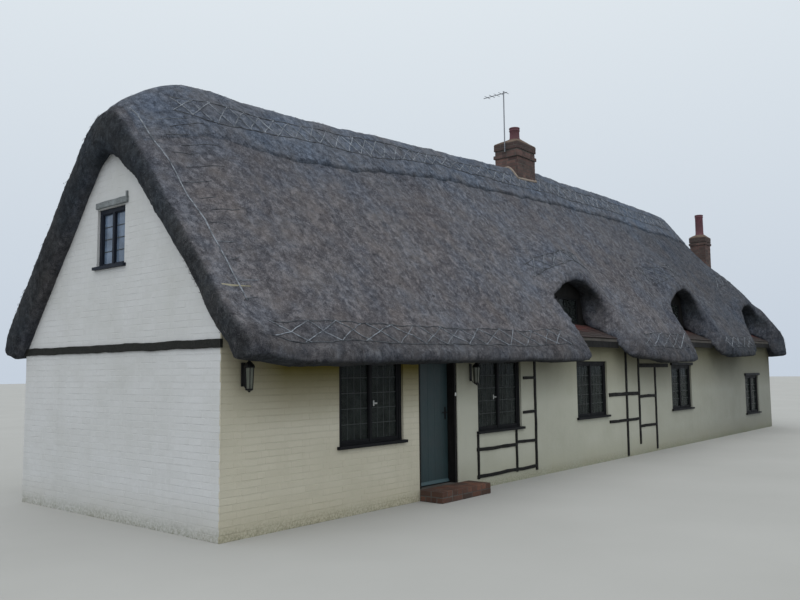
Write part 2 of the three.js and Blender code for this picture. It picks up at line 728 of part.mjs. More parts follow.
// Dormers: a board on the wall head, a fascia, two cheeks and a glazed front, under the hood
const dormerFront = 480;
const dormerPanel = 80;
const dormerSill = 420;
const dormerLightHeight = 600;
const cheekThickness = 60;
const cheekFront = 120;
const tileDepth = 50;

dormerCentres.forEach((centre, i) => {
  const name = `dormer_${i + 1}`;
  const base = bayTop(centre);
  const reach = dormerHalfGaps[i] - 45;
  const left = along(centre) - reach;
  const right = along(centre) + reach;
  const at = (behind) => frontFace + behind;
  const middleOfCoat = (offset, behind) => thatchTop(centre + offset, at(behind)) - coatDepth * 0.4;
  const sole = block([left, at(-150), base + fitGap], [right, at(dormerFront + dormerPanel), base + 45]);
  const fascia = block([left, at(-150), base - 70], [right, at(-120), base + 45]);
  const cheek = (offset) => {
    const line = [cheekFront, 250, 520].map((behind) => [at(behind), middleOfCoat(offset, behind)]);
    const points = [[at(520), base + 40], [at(cheekFront), base + 40], ...line];
    const x = along(centre + offset);
    return plateAlong(points.reverse(), x - cheekThickness / 2, x + cheekThickness / 2);
  };
  const panelTop = [1, 0.6, 0.25, 0, -0.25, -0.6, -1].map((share) =>
    [along(centre) + share * reach, middleOfCoat(share * reach, dormerFront + dormerPanel / 2)]);
  const lightLeft = left + dormerLightInsets[i][0];
  const lightRight = right - dormerLightInsets[i][1];
  const coatUnder = [lightLeft, lightRight].map((x) =>
    thatchTop(x - gableFace, at(dormerFront)) - coatDepth - 40);
  const lightHead = Math.min(base + dormerSill + dormerLightHeight, ...coatUnder);
  const light = block([lightLeft, at(0), base + dormerSill], [lightRight, at(1000), lightHead]);
  const slab = plateAcross([[left, base + 40], [right, base + 40], ...panelTop],
    at(dormerFront), at(dormerFront + dormerPanel));
  const panel = cutOpenings(toSolid(slab), [light]);
  const lightMiddle = (lightLeft + lightRight) / 2;
  const mullion = block([lightMiddle - 25, at(dormerFront), base + dormerSill - 10],
    [lightMiddle + 25, at(dormerFront) + mullionDepth, lightHead + 10]);
  const cheekOffset = reach - cheekThickness / 2;
  const frame = panel.add(joined([sole, fascia, cheek(-cheekOffset), cheek(cheekOffset), mullion]));
  addPiece(`${name}_frame`, toGeometry(besideFlank(frame)), materials.blackTimber);
  const glassFront = at(dormerFront) + mullionDepth + fitGap;
  addPiece(`${name}_glass`, block(
    [lightLeft + fitGap, glassFront, base + dormerSill + fitGap],
    [lightRight - fitGap, glassFront + glassThickness, lightHead - fitGap],
  ), materials.glass);
  const tileBack = at(dormerFront - 2);
  const tileTop = base + tileFoot.above + tileSlope * (dormerFront - 2 - tileFoot.behind);
  const apron = plateAlong([
    [at(tileFoot.behind), base + tileFoot.above - tileDepth], [tileBack, tileTop - tileDepth],
    [tileBack, tileTop], [at(tileFoot.behind), base + tileFoot.above],
  ], left + cheekThickness + fitGap, right - cheekThickness - fitGap);
  addPiece(`${name}_tile_apron`, toGeometry(besideFlank(toSolid(apron))), materials.clayTile);
});

// Timber framing on the front wall: bars given by their middle lines
const barWidth = 70;
const barProud = 22;
const bar = ([d0, z0], [d1, z1]) => block(
  [along(Math.min(d0, d1)) - (d0 === d1 ? barWidth / 2 : 0), frontFace - barProud,
    Math.min(z0, z1) - (z0 === z1 ? barWidth / 2 : 0)],
  [along(Math.max(d0, d1)) + (d0 === d1 ? barWidth / 2 : 0), frontFace - fitGap,
    Math.max(z0, z1) + (z0 === z1 ? barWidth / 2 : 0)],
);
const upright = (d, z0, z1) => bar([d, z0], [d, z1]);
const rail = (z, d0, d1) => bar([d0, z], [d1, z]);
addPiece('timber_frame_left', toGeometry(joined([
  upright(4710, 140, 800), upright(5790, 140, 800), upright(6400, 110, 2120),
  rail(175, 4675, 6400), rail(570, 4675, 5790), rail(600, 5790, 6400),
  rail(1070, 6040, 6400), rail(1620, 6065, 6400),
])), materials.blackTimber);
addPiece('timber_frame_right', toGeometry(joined([
  upright(10000, 20, 2120), upright(10610, 210, 2120), upright(11470, 50, 1850),
  rail(1250, 9190, 10610), rail(730, 9190, 10610), rail(1820, 10610, 12200),
  rail(1180, 10610, 11470), rail(570, 10610, 11470),
])), materials.blackTimber);

// Door: a timber frame with two pintles, and a leaf with strap hinges that turns into the room
const hingeX = along(doorLeft + doorPostWidth + 4);
const leafInner = frontFace + doorRecess + doorLeafThickness;
const hingeY = leafInner + 14;
const hingeHeights = [480, 1640];
const pinRadius = 6;
const eyeHeight = 40;
const strapLength = 420;
const frameFront = frontFace + 15;
const frameBack = leafInner - 5;
const leafLeft = along(doorLeft + doorPostWidth) + doorClearance;
const leafRight = along(doorRight - doorPostWidth) - doorClearance;
const leafBottom = floorTop + 10;
const leafTop = doorHead - doorPostWidth - doorClearance;

const doorPosts = [
  block([along(doorLeft) + fitGap, frameFront, floorTop + fitGap],
    [along(doorLeft + doorPostWidth), frameBack, doorHead - fitGap]),
  block([along(doorRight - doorPostWidth), frameFront, floorTop + fitGap],
    [along(doorRight) - fitGap, frameBack, doorHead - fitGap]),
  block([along(doorLeft) + fitGap, frameFront, doorHead - doorPostWidth],
    [along(doorRight) - fitGap, frameBack, doorHead - fitGap]),
];
const pintles = hingeHeights.flatMap((z) => [
  block([hingeX - 34, frameBack - 2, z - 25], [hingeX - 2, hingeY + 7, z]),
  block([hingeX - 10, hingeY - 9, z - 25], [hingeX + 7, hingeY + 7, z]),
  post(hingeX, hingeY, z - 5, z + eyeHeight + 6, pinRadius),
]);
addPiece('door_frame', toGeometry(joined([...doorPosts, ...pintles])), materials.blackTimber);

const leafParts = [block([leafLeft, frontFace + doorRecess, leafBottom], [leafRight, leafInner, leafTop])];
hingeHeights.forEach((z) => {
  leafParts.push(post(hingeX, hingeY, z + fitGap, z + eyeHeight, 13));
  const strapEnd = [hingeX + strapLength, leafInner + 7, z + eyeHeight];
  leafParts.push(block([hingeX + 9, leafInner - 2, z + fitGap], strapEnd));
});
const eyeBores = joined(hingeHeights.map((z) => post(hingeX, hingeY, z - 20, z + eyeHeight + 20, 8)));
addPiece('door_leaf', toGeometry(joined(leafParts).subtract(eyeBores)), materials.door);

const handleX = leafRight - 60;
const handleReach = 35;
const handleFront = frontFace + doorRecess - fitGap;
addPiece('door_handle', toGeometry(joined([
  block([handleX - 18, handleFront - 6, 1050], [handleX + 18, handleFront, 1230]),
  rod([handleX, handleFront - 2, 1150], [handleX, handleFront - handleReach, 1150], 8),
  rod([handleX + 8, handleFront - handleReach, 1150], [handleX - 95, handleFront - handleReach, 1150], 8),
])), materials.iron);

// Step of brick, which runs under the door to the floor
addPiece('door_step', toGeometry(joined([
  block([along(doorLeft) + fitGap, frontFace - 380, 0],
    [along(doorRight) - fitGap, frontFace + wallThickness, floorTop]),
  block([along(3450), frontFace - 380, 0], [along(4450), frontFace - fitGap, floorTop]),
])), materials.brick);

// Lanterns on the front wall
const lanterns = [['lantern_left', 290, 1540, 1900], ['lantern_right', 4545, 1530, 1890]];
lanterns.forEach(([name, distance, bottom, top]) => {
  const x = along(distance);
  const y = frontFace - 110;
  const body = new THREE.CylinderGeometry(60, 42, top - bottom - 120, 6);
  const hat = new THREE.CylinderGeometry(12, 70, 60, 6);
  const height = (geometry, z) => geometry.rotateX(Math.PI / 2).translate(x, y, z);
  addPiece(name, toGeometry(joined([
    height(body, (top + bottom) / 2 - 30),
    height(hat, top - 62),
    block([x - 30, frontFace - 12, bottom + 60], [x + 30, frontFace - fitGap, top - 40]),
    block([x - 9, frontFace - 80, bottom + 90], [x + 9, frontFace - 8, bottom + 112]),
  ])), materials.iron);
});

export default cottage;
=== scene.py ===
import itertools
import math
import random

import bpy
import numpy as np
from mathutils import Matrix, Vector, noise
from mathutils.bvhtree import BVHTree


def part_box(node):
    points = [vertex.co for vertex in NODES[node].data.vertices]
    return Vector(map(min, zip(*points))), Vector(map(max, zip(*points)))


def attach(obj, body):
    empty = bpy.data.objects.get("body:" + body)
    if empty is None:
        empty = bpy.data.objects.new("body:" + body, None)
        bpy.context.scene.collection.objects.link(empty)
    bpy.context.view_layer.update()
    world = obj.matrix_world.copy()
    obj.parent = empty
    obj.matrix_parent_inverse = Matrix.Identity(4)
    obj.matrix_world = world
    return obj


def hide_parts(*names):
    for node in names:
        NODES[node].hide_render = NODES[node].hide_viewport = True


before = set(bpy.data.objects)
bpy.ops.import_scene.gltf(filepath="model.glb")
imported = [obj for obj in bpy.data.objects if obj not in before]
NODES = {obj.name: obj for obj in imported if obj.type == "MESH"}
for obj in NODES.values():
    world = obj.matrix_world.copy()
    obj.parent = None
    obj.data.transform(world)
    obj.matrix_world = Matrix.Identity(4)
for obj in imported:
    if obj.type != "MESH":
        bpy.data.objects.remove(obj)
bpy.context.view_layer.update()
scene = bpy.context.scene

# The house in the row frame: +X from the gable to the hipped end, front at negative Y
GABLE = -10.275
FRONT = -2.215
BACK = 2.215
HIP = GABLE + 17.7
EAVE_REACH = 2.815
COURSE = 0.075
UP = Vector((0, 0, 1))


# Materials

class Tree:
    """Short calls for the nodes of one material"""

    def __init__(self, name, roughness=0.9, metallic=0.0, specular=0.5):
        self.material = bpy.data.materials.new(name)
        self.material.use_nodes = True
        self.nodes = self.material.node_tree.nodes
        self.links = self.material.node_tree.links
        self.shader = self.nodes["Principled BSDF"]
        self.shader.inputs["Roughness"].default_value = roughness
        self.shader.inputs["Metallic"].default_value = metallic
        self.shader.inputs["Specular IOR Level"].default_value = specular
        self.place = self.nodes.new("ShaderNodeTexCoord").outputs["Object"]

    def put(self, socket, value):
        if isinstance(value, bpy.types.NodeSocket):
            self.links.new(value, socket)
        else:
            socket.default_value = value

    def node(self, kind, inputs, **settings):
        """The outputs of a new node, with a value or a link put in each input that is named"""
        made = self.nodes.new("ShaderNode" + kind)
        for name, value in settings.items():
            setattr(made, name, value)
        for name, value in inputs.items():
            self.put(made.inputs[name], value)
        return made.outputs

    def attribute(self, name, output="Fac"):
        return self.node("Attribute", {}, attribute_name=name)[output]

    def scaled(self, vector, scale):
        return self.node("Mapping", {"Vector": vector, "Scale": scale})["Vector"]

    def noise(self, vector, scale=1.0, detail=3.0, roughness=0.55, distortion=0.0):
        inputs = {"Vector": vector, "Scale": scale, "Detail": detail}
        return self.node("TexNoise", {**inputs, "Roughness": roughness, "Distortion": distortion})["Fac"]

    def cells(self, vector, scale):
        return self.node("TexVoronoi", {"Vector": vector, "Scale": scale})["Distance"]

    def axes(self, vector):
        return self.node("SeparateXYZ", {0: vector})

    def math(self, operation, a, b):
        return self.node("Math", {0: a, 1: b}, operation=operation)[0]

    def span(self, value, low, high, to_low=0.0, to_high=1.0):
        """to_low where the value is low, to_high where it is high, and even steps between"""
        inputs = {"Value": value, "From Min": low, "From Max": high}
        return self.node("MapRange", {**inputs, "To Min": to_low, "To Max": to_high})["Result"]

    def ramp(self, value, *stops):
        node = self.nodes.new("ShaderNodeValToRGB")
        self.put(node.inputs["Fac"], value)
        while len(node.color_ramp.elements) < len(stops):
            node.color_ramp.elements.new(0.5)
        for element, (position, color) in zip(node.color_ramp.elements, stops):
            element.position = position
            element.color = (*color, 1)
        return node.outputs["Color"]

    def mix(self, factor, a, b, blend="MIX"):
        a, b = (c if isinstance(c, bpy.types.NodeSocket) else (*c, 1) for c in (a, b))
        inputs = {"Factor": factor, "A": a, "B": b}
        return self.node("Mix", inputs, data_type="RGBA", blend_type=blend)["Result"]

    def stain(self, color, mask, low, high, strength, paint, blend="MIX"):
        """Paint over the colour, the stronger the nearer the mask is to high"""
        return self.mix(self.span(mask, low, high, 0.0, strength), color, paint, blend)

    def shade(self, *values):
        """A stain that multiplies the colour under it"""
        return self.stain(*values, "MULTIPLY")

    def finish(self, color, *bumps, roughness=None):
        """bumps are (height, distance in metres), from the finest to the broadest"""
        self.put(self.shader.inputs["Base Color"], color)
        if roughness is not None:
            self.put(self.shader.inputs["Roughness"], roughness)
        normal = None
        for value, distance in reversed(bumps):
            inputs = {"Distance": distance, "Height": value}
            if normal:
                inputs["Normal"] = normal
            normal = self.node("Bump", inputs)["Normal"]
        if normal:
            self.put(self.shader.inputs["Normal"], normal)
        return self.material


def times(color, factor, added=0.0):
    return tuple(min(1, c * factor + added) for c in color)


def thatch_material(name, dark, middle, light, blue_shift):
    """Butts of straw seen end on, with faint streaks down the slope, weathering in clouds, and painted shade
    from the edge attribute
    """
    t = Tree(name, roughness=1.0, specular=0.15)
    straw = t.attribute("straw", "Vector")
    streaks = t.noise(t.scaled(straw, (60, 16, 1)), detail=3, distortion=0.3)
    bundle = t.noise(t.scaled(straw, (9, 4.5, 1)), detail=4, distortion=0.8)
    speckle = t.noise(t.place, scale=65, detail=3, roughness=0.75)
    mottle = t.noise(t.place, scale=11, detail=6, roughness=0.75)
    patches = t.noise(t.place, scale=0.8, detail=4)
    hues = t.noise(t.place, scale=1.4, detail=5, roughness=0.65)
    blotches = t.noise(t.place, scale=2.6, detail=5, roughness=0.65)
    tone = t.math("MULTIPLY", streaks, 0.08)
    for texture, share in ((speckle, 0.34), (bundle, 0.14), (mottle, 0.44)):
        tone = t.math("ADD", tone, t.math("MULTIPLY", texture, share))
    color = t.ramp(tone, (0.42, dark), (0.50, middle), (0.585, light))
    butts = t.ramp(t.cells(t.place, 85), (0.10, light), (0.35, middle), (0.60, dark))
    color = t.mix(t.span(speckle, 0.45, 0.65, 0.1, 0.5), color, butts)
    color = t.shade(color, patches, 0.35, 0.65, 0.45, (0.68, 0.64, 0.64))
    color = t.stain(color, blotches, 0.45, 0.72, 0.4, (0.21, 0.19, 0.185))
    color = t.shade(color, hues, 0.55, 0.35, 0.7, (1.0, 0.92, 0.86))
    color = t.shade(color, hues, 0.5, 0.68, 0.7, (0.86, 0.95, 1.06))
    color = t.mix(t.math("MULTIPLY", t.attribute("blue"), 0.8), color, blue_shift, "MULTIPLY")
    # Painted shade where the edge attribute is high
    color = t.mix(t.math("MULTIPLY", t.attribute("edge"), 0.85), color, (0.14, 0.17, 0.17), "MULTIPLY")
    return t.finish(color, (speckle, 0.006), (streaks, 0.0015), (mottle, 0.024), (bundle, 0.014))


# Painted shade under the eave on the front wall: its yellowish tint, then the heights it comes up between
EAVE_SHADE_TINT = (0.25, 0.215, 0.05)
FRONT_SHADE = (1.12, 1.8)


def painted_wall(name, base, splash_tint, eave_shade_tint, eave, grain, wobble, front=None, far=False,
                 courses=0.0):
    """Paint on brick or render: uneven coats, grey streaks, splashes by the ground, painted shade under the
    eave.

    eave says between which heights that painted shade comes up. A paint for the front reaches a little round
    the corner, far paints shade over the far end, and courses says how clearly painted shadow lines show in
    the joints.
    """
    t = Tree(name, roughness=0.85, specular=0.25)
    x, y, z = t.axes(t.place)
    shade_low, shade_high = eave
    if front:
        on_front = t.span(y, FRONT + 0.0006, FRONT + 0.0002)
        base = t.mix(on_front, base, front)
        shade_low = t.span(on_front, 0.0, 1.0, shade_low, FRONT_SHADE[0])
        shade_high = t.span(on_front, 0.0, 1.0, shade_high, FRONT_SHADE[1])
        eave_shade_tint = t.mix(on_front, eave_shade_tint, EAVE_SHADE_TINT)
    coats = t.noise(t.place, scale=1.3, detail=5, roughness=0.6)
    streaks = t.noise(t.scaled(t.place, (9, 9, 0.9)), detail=4, roughness=0.6)
    flecks = t.noise(t.place, scale=38, detail=4, roughness=0.7)
    color = t.shade(base, coats, 0.6, 0.3, 1.0, (0.90, 0.90, 0.88))
    color = t.shade(color, streaks, 0.5, 0.8, 0.15, (0.75, 0.76, 0.74))
    color = t.shade(color, flecks, 0.6, 0.75, 0.5, (0.80, 0.80, 0.78))
    # Painted shade under the thatch, between the given heights and weaker by the gable corner
    eave_shade = t.math("MULTIPLY", t.span(z, shade_low, shade_high), t.span(x, GABLE, GABLE + 0.9, 0.3, 1.0))
    color = t.mix(eave_shade, color, eave_shade_tint, "MULTIPLY")
    splash = t.math("MULTIPLY", t.span(z, 0.45, 0.0), t.span(coats, 0.35, 0.6, 0.4, 1.0))
    color = t.mix(splash, color, splash_tint, "MULTIPLY")
    # Painted shade: the wall darkens from x = 0 to x = 7 towards the far end
    if far:
        color = t.shade(color, x, 0.0, 7.0, 1.0, (0.60, 0.61, 0.63))
    # Painted shadow lines in the bed joints, in patches; courses sets how dark they are
    if courses:
        wander = t.span(t.noise(t.place, scale=4, detail=2), 0.3, 0.7, -0.004, 0.004)
        joint = t.span(t.math("PINGPONG", t.math("ADD", z, wander), COURSE / 2), 0.011, 0.002)
        joint = t.math("MULTIPLY", joint, t.span(coats, 0.42, 0.6, 0.1, 1.0))
        color = t.mix(t.math("MULTIPLY", joint, courses), color, (0.5, 0.5, 0.48), "MULTIPLY")
    moss = t.math("MULTIPLY", t.span(z, 0.16, 0.0), t.span(flecks, 0.4, 0.6))
    color = t.mix(t.math("MULTIPLY", moss, 0.6), color, (0.12, 0.13, 0.07))
    color = t.shade(color, t.attribute("tint"), 0.2, 0.8, 0.06, (0.55, 0.55, 0.5))
    return t.finish(color, (flecks, grain), (coats, wobble))


def timber(name, dark, light, roughness=0.65, stretch=(45, 45, 3)):
    """Grain that is drawn out along the axis with the small number in stretch"""
    t = Tree(name, roughness=roughness, specular=0.15)
    grain = t.noise(t.scaled(t.place, stretch), detail=4, roughness=0.6, distortion=0.4)
    wear = t.noise(t.place, scale=7, detail=4)
    color = t.ramp(grain, (0.35, dark), (0.7, light))
    color = t.stain(color, wear, 0.5, 0.75, 0.4, times(light, 1.8))
    gloss = t.span(wear, 0.3, 0.7, roughness - 0.1, roughness + 0.15)
    return t.finish(color, (grain, 0.003), (wear, 0.003), roughness=gloss)


def fired_clay(name, dark, middle, light, soot, scale=30, cloud_scale=3.5):
    t = Tree(name, roughness=0.9, specular=0.2)
    grit = t.noise(t.place, scale=scale, detail=5, roughness=0.7)
    cloud = t.noise(t.place, scale=cloud_scale, detail=3)
    color = t.ramp(t.attribute("tint"), (0.0, dark), (0.5, middle), (1.0, light))
    color = t.stain(color, grit, 0.4, 0.7, 0.5, times(middle, 0.55))
    color = t.stain(color, cloud, 0.38, 0.62, soot, (0.050, 0.044, 0.040))
    return t.finish(color, (grit, 0.004))


def hazel_material():
    """Weathered rods: the tint says how pale a rod is, and each is darker where moss holds"""
    t = Tree("hazel_rod", roughness=0.9, specular=0.2)
    patches = t.noise(t.place, scale=9, detail=4, roughness=0.7)
    grain = t.noise(t.place, scale=90, detail=3)
    color = t.ramp(t.attribute("tint"), (0.0, (0.07, 0.073, 0.08)), (1.0, (0.38, 0.41, 0.46)))
    color = t.shade(color, patches, 0.42, 0.62, 1.0, (0.30, 0.31, 0.32))
    color = t.shade(color, grain, 0.4, 0.7, 0.5, (0.6, 0.6, 0.6))
    return t.finish(color, (grain, 0.002))


def plain_paint(name, color, roughness, variation=0.25, metallic=0.0, specular=0.5):
    t = Tree(name, roughness=roughness, metallic=metallic, specular=specular)
    cloud = t.noise(t.place, scale=5, detail=5)
    brush = t.noise(t.scaled(t.place, (60, 60, 9)), detail=3)
    made = t.ramp(cloud, (0.3, times(color, 1 - variation)), (0.7, color))
    made = t.stain(made, brush, 0.5, 0.8, 0.3, times(color, 1.5, 0.01))
    gloss = t.span(cloud, 0.3, 0.7, roughness - 0.08, roughness + 0.12)
    return t.finish(made, (brush, 0.0015), roughness=gloss)


def glass_material(name, color, transmission, ior, wave=0.004):
    t = Tree(name, roughness=0.05, specular=0.5)
    t.shader.inputs["Transmission Weight"].default_value = transmission
    t.shader.inputs["IOR"].default_value = ior
    grime = t.noise(t.place, scale=6, detail=4)
    ripple = t.noise(t.place, scale=2.2, detail=1)
    made = t.ramp(grime, (0.35, times(color, 0.7)), (0.75, times(color, 1.3)))
    return t.finish(made, (ripple, wave), roughness=t.span(grime, 0.4, 0.8, 0.03, 0.16))


def mortar_material(name, color):
    t = Tree(name, roughness=1.0, specular=0.1)
    grit = t.noise(t.place, scale=60, detail=4, roughness=0.7)
    cloud = t.noise(t.place, scale=4, detail=4)
    made = t.ramp(cloud, (0.3, times(color, 0.6)), (0.7, color))
    made = t.stain(made, grit, 0.45, 0.7, 0.4, times(color, 0.7))
    return t.finish(made, (grit, 0.003))


def laid_pattern(name, color_a, color_b, joint, length, width, gap):
    """Flags or boards seen from above"""
    t = Tree(name, roughness=0.8, specular=0.3)
    pieces = t.node("TexBrick", {
        "Vector": t.place, "Scale": 1, "Brick Width": length, "Row Height": width, "Mortar Size": gap,
        "Color1": (*color_a, 1), "Color2": (*color_b, 1), "Mortar": (*joint, 1)})
    grain = t.noise(t.scaled(t.place, (4, 40, 40)), detail=4)
    made = t.stain(pieces["Color"], grain, 0.4, 0.7, 0.4, times(color_a, 0.6))
    return t.finish(made, (grain, 0.002), (t.math("MULTIPLY", pieces["Fac"], -1.0), 0.004))


CREAM = (0.52, 0.488, 0.394)
ALONG_X = (3, 45, 45)
THATCH = thatch_material(
    "thatch_straw", (0.046, 0.047, 0.055), (0.116, 0.116, 0.132), (0.28, 0.278, 0.30), (0.80, 0.90, 1.0))
RIDGE = thatch_material(
    "ridge_straw", (0.047, 0.052, 0.065), (0.116, 0.127, 0.155), (0.28, 0.296, 0.345), (0.82, 0.92, 1.0))
# In each wall paint the fourth and fifth values are the painted shade under the thatch: its tint and its
# heights
WHITE_BRICK = painted_wall(
    "white_painted_brick", (0.56, 0.565, 0.57), (0.80, 0.78, 0.72), (0.93, 0.93, 0.93), (3.4, 5.0),
    grain=0.002, wobble=0.006, front=CREAM, courses=0.15)
CREAM_BRICK = painted_wall(
    "cream_painted_brick", CREAM, (0.88, 0.86, 0.80), EAVE_SHADE_TINT, FRONT_SHADE,
    grain=0.002, wobble=0.008, courses=0.24)
# far=True paints shade over the far end of this render
CREAM_RENDER = painted_wall(
    "cream_render", (0.42, 0.418, 0.350), (0.80, 0.78, 0.70), (0.38, 0.36, 0.27), (1.2, 2.1),
    grain=0.003, wobble=0.02, far=True)
BLACK_TIMBER = timber("tarred_timber", (0.004, 0.004, 0.004), (0.013, 0.012, 0.011))
BLACK_BEAM = timber("tarred_beam", (0.006, 0.0065, 0.006), (0.022, 0.022, 0.019), stretch=ALONG_X)
GREY_TIMBER = timber("grey_timber", (0.12, 0.13, 0.13), (0.22, 0.24, 0.25), 0.85, ALONG_X)
WINDOW_PAINT = plain_paint("window_paint", (0.006, 0.0065, 0.008), 0.6, specular=0.15)
GABLE_PAINT = plain_paint("gable_window_paint", (0.008, 0.012, 0.022), 0.55, specular=0.2)
LEAD = plain_paint("lead", (0.040, 0.046, 0.044), 0.7)
DOOR_PAINT = plain_paint("door_paint", (0.016, 0.037, 0.041), 0.55, 0.35)
WEATHERBOARD = plain_paint("weatherboard_paint", (0.040, 0.078, 0.088), 0.55)
IRON = plain_paint("black_iron", (0.008, 0.008, 0.008), 0.5, metallic=0.3, specular=0.3)
PLASTIC = plain_paint("bell_push", (0.55, 0.55, 0.52), 0.4)
STEEL = plain_paint("pale_metal", (0.55, 0.55, 0.53), 0.35, metallic=0.8)
ALUMINIUM = plain_paint("aerial_metal", (0.22, 0.23, 0.25), 0.45, metallic=0.7)
GLASS = glass_material("window_glass", (0.18, 0.21, 0.20), 0.9, 1.12)
# Painted reflection: a mostly opaque blue base colour stands in for the sky that the gable glass reflects
GABLE_GLASS_PAINTED_SKY = glass_material("gable_glass_painted_sky", (0.14, 0.19, 0.27), 0.15, 1.45)
LANTERN_GLASS = glass_material("lantern_glass", (0.15, 0.16, 0.13), 0.2, 1.3, wave=0.002)
TILE = fired_clay("clay_tile", (0.055, 0.047, 0.046), (0.12, 0.040, 0.038), (0.20, 0.050, 0.045), 0.75,
                  cloud_scale=1.6)
BRICK = fired_clay("red_brick", (0.072, 0.047, 0.045), (0.134, 0.083, 0.075), (0.22, 0.128, 0.108), 0.6)
STEP_BRICK = fired_clay("step_brick", (0.055, 0.034, 0.026), (0.10, 0.050, 0.036), (0.16, 0.075, 0.05), 0.5)
POT = fired_clay("clay_pot", (0.11, 0.052, 0.066), (0.16, 0.070, 0.085), (0.21, 0.09, 0.10), 0.35, 18)
MORTAR = mortar_material("mortar", (0.12, 0.11, 0.10))
FILLET = mortar_material("mortar_fillet", (0.17, 0.125, 0.10))
FLASHING = mortar_material("pale_mortar", (0.36, 0.30, 0.25))
HAZEL = hazel_material()
FLAGS = laid_pattern(
    "floor_flags", (0.30, 0.28, 0.24), (0.24, 0.23, 0.20), (0.1, 0.09, 0.08),
    length=0.6, width=0.45, gap=0.012)
BOARDS = laid_pattern(
    "floor_boards", (0.20, 0.13, 0.07), (0.15, 0.10, 0.055), (0.02, 0.015, 0.01),
    length=2.4, width=0.18, gap=0.004)


# Meshes

class Shape:
    """Points, faces and a tint for each point, gathered part by part"""

    def __init__(self):
        self.points, self.faces, self.tints = [], [], []

    def add(self, points, faces, tint=0.0):
        start = len(self.points)
        self.points += [tuple(p) for p in points]
        self.faces += [tuple(start + i for i in face) for face in faces]
        self.tints += [tint] * len(points)

    def loft(self, rings, tint=0.0, closed=False):
        """Faces from ring to ring, and a cap at each end unless the last ring joins the first"""
        count, size = len(rings), len(rings[0])
        last = (count - 1) * size
        faces = [] if closed else [range(size)[::-1], range(last, last + size)]
        for i in range(count if closed else count - 1):
            a, b = i * size, (i + 1) % count * size
            for k in range(size):
                n = (k + 1) % size
                faces.append((a + k, a + n, b + n, b + k))
        self.add([p for ring in rings for p in ring], faces, tint)

    def make(self, name, material, slot, *replaces, **options):
        mesh = bpy.data.meshes.new(name)
        mesh.from_pydata(self.points, [], self.faces)
        layer = mesh.attributes.new("tint", "FLOAT", "POINT")
        layer.data.foreach_set("value", self.tints)
        place_mesh(name, mesh, material, slot, *replaces, **options)


def place_mesh(name, mesh, material, slot, *replaces, body="house", smooth=False):
    """A piece of the visual model that rides on a body and may stand for some of its nodes"""
    mesh.materials.append(material)
    if smooth:
        mesh.shade_smooth()
    mesh.update()
    piece = bpy.data.objects.new(name, mesh)
    scene.collection.objects.link(piece)
    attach(piece, body)
    if replaces:
        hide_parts(*replaces)
    return piece


def put_material(material, *nodes):
    for node in nodes:
        NODES[node].data.materials.clear()
        NODES[node].data.materials.append(material)


def circle(sides):
    """Cosine and sine of each corner's angle"""
    return [(math.cos(k * math.tau / sides), math.sin(k * math.tau / sides)) for k in range(sides)]


CORNERS = list(itertools.product((-1, 1), repeat=3))


def cut_block_faces():
    """The faces of a block with cut edges, which has three points at each corner.

    For each way out they are the points that reach farthest, in order round it.
    """
    points = [Vector([s if k == axis else s * 0.7 for k, s in enumerate(signs)])
              for signs in CORNERS for axis in range(3)]
    faces = []
    for way_out in itertools.product((-1, 0, 1), repeat=3):
        if any(way_out):
            out = Vector(way_out)
            side = out.orthogonal()
            up = out.cross(side)
            reach = [p.dot(out) for p in points]
            face = [i for i in range(len(points)) if reach[i] > max(reach) - 0.01]
            faces.append(sorted(face, key=lambda i: math.atan2(points[i].dot(up), points[i].dot(side))))
    return faces


CUT_BLOCK_FACES = cut_block_faces()


def rounded_block(shape, low, high, round_by, tint=0.0, wobble=0.0, rng=None):
    """A block whose twelve edges are cut off"""
    centre = Vector([(a + b) / 2 for a, b in zip(low, high)])
    half = Vector([(b - a) / 2 for a, b in zip(low, high)])
    cut = min(round_by, *((b - a) / 3 for a, b in zip(low, high)))
    points = []
    for signs in CORNERS:
        shift = [rng.uniform(-wobble, wobble) if rng else 0.0 for _ in range(3)]
        for axis in range(3):
            reach = [half[k] - (0 if k == axis else cut) for k in range(3)]
            points.append([centre[k] + signs[k] * reach[k] + shift[k] for k in range(3)])
    shape.add(points, CUT_BLOCK_FACES, tint)


STRETCHER, HEADER = 0.215, 0.1025
BOND_SHIFT = 0.16
SMALLEST_CUT = 0.02
BRICK_BACK, BRICK_WEAR = -0.01, 0.004


def face_brick(shape, place, u0, u1, v0, v1, front, tint, rng):
    """One brick in a face: its front edges are worn, and its back is inside the wall"""
    rings = []
    for depth, inset in ((BRICK_BACK, 0.0), (front - BRICK_WEAR, 0.0), (front, BRICK_WEAR)):
        left, right, low, high = u0 + inset, u1 - inset, v0 + inset, v1 - inset
        rings.append([place(u, v, depth + (rng.uniform(-0.0012, 0.0012) if inset else 0.0))
                      for u, v in ((left, low), (right, low), (right, high), (left, high))])
    shape.loft(rings, tint)


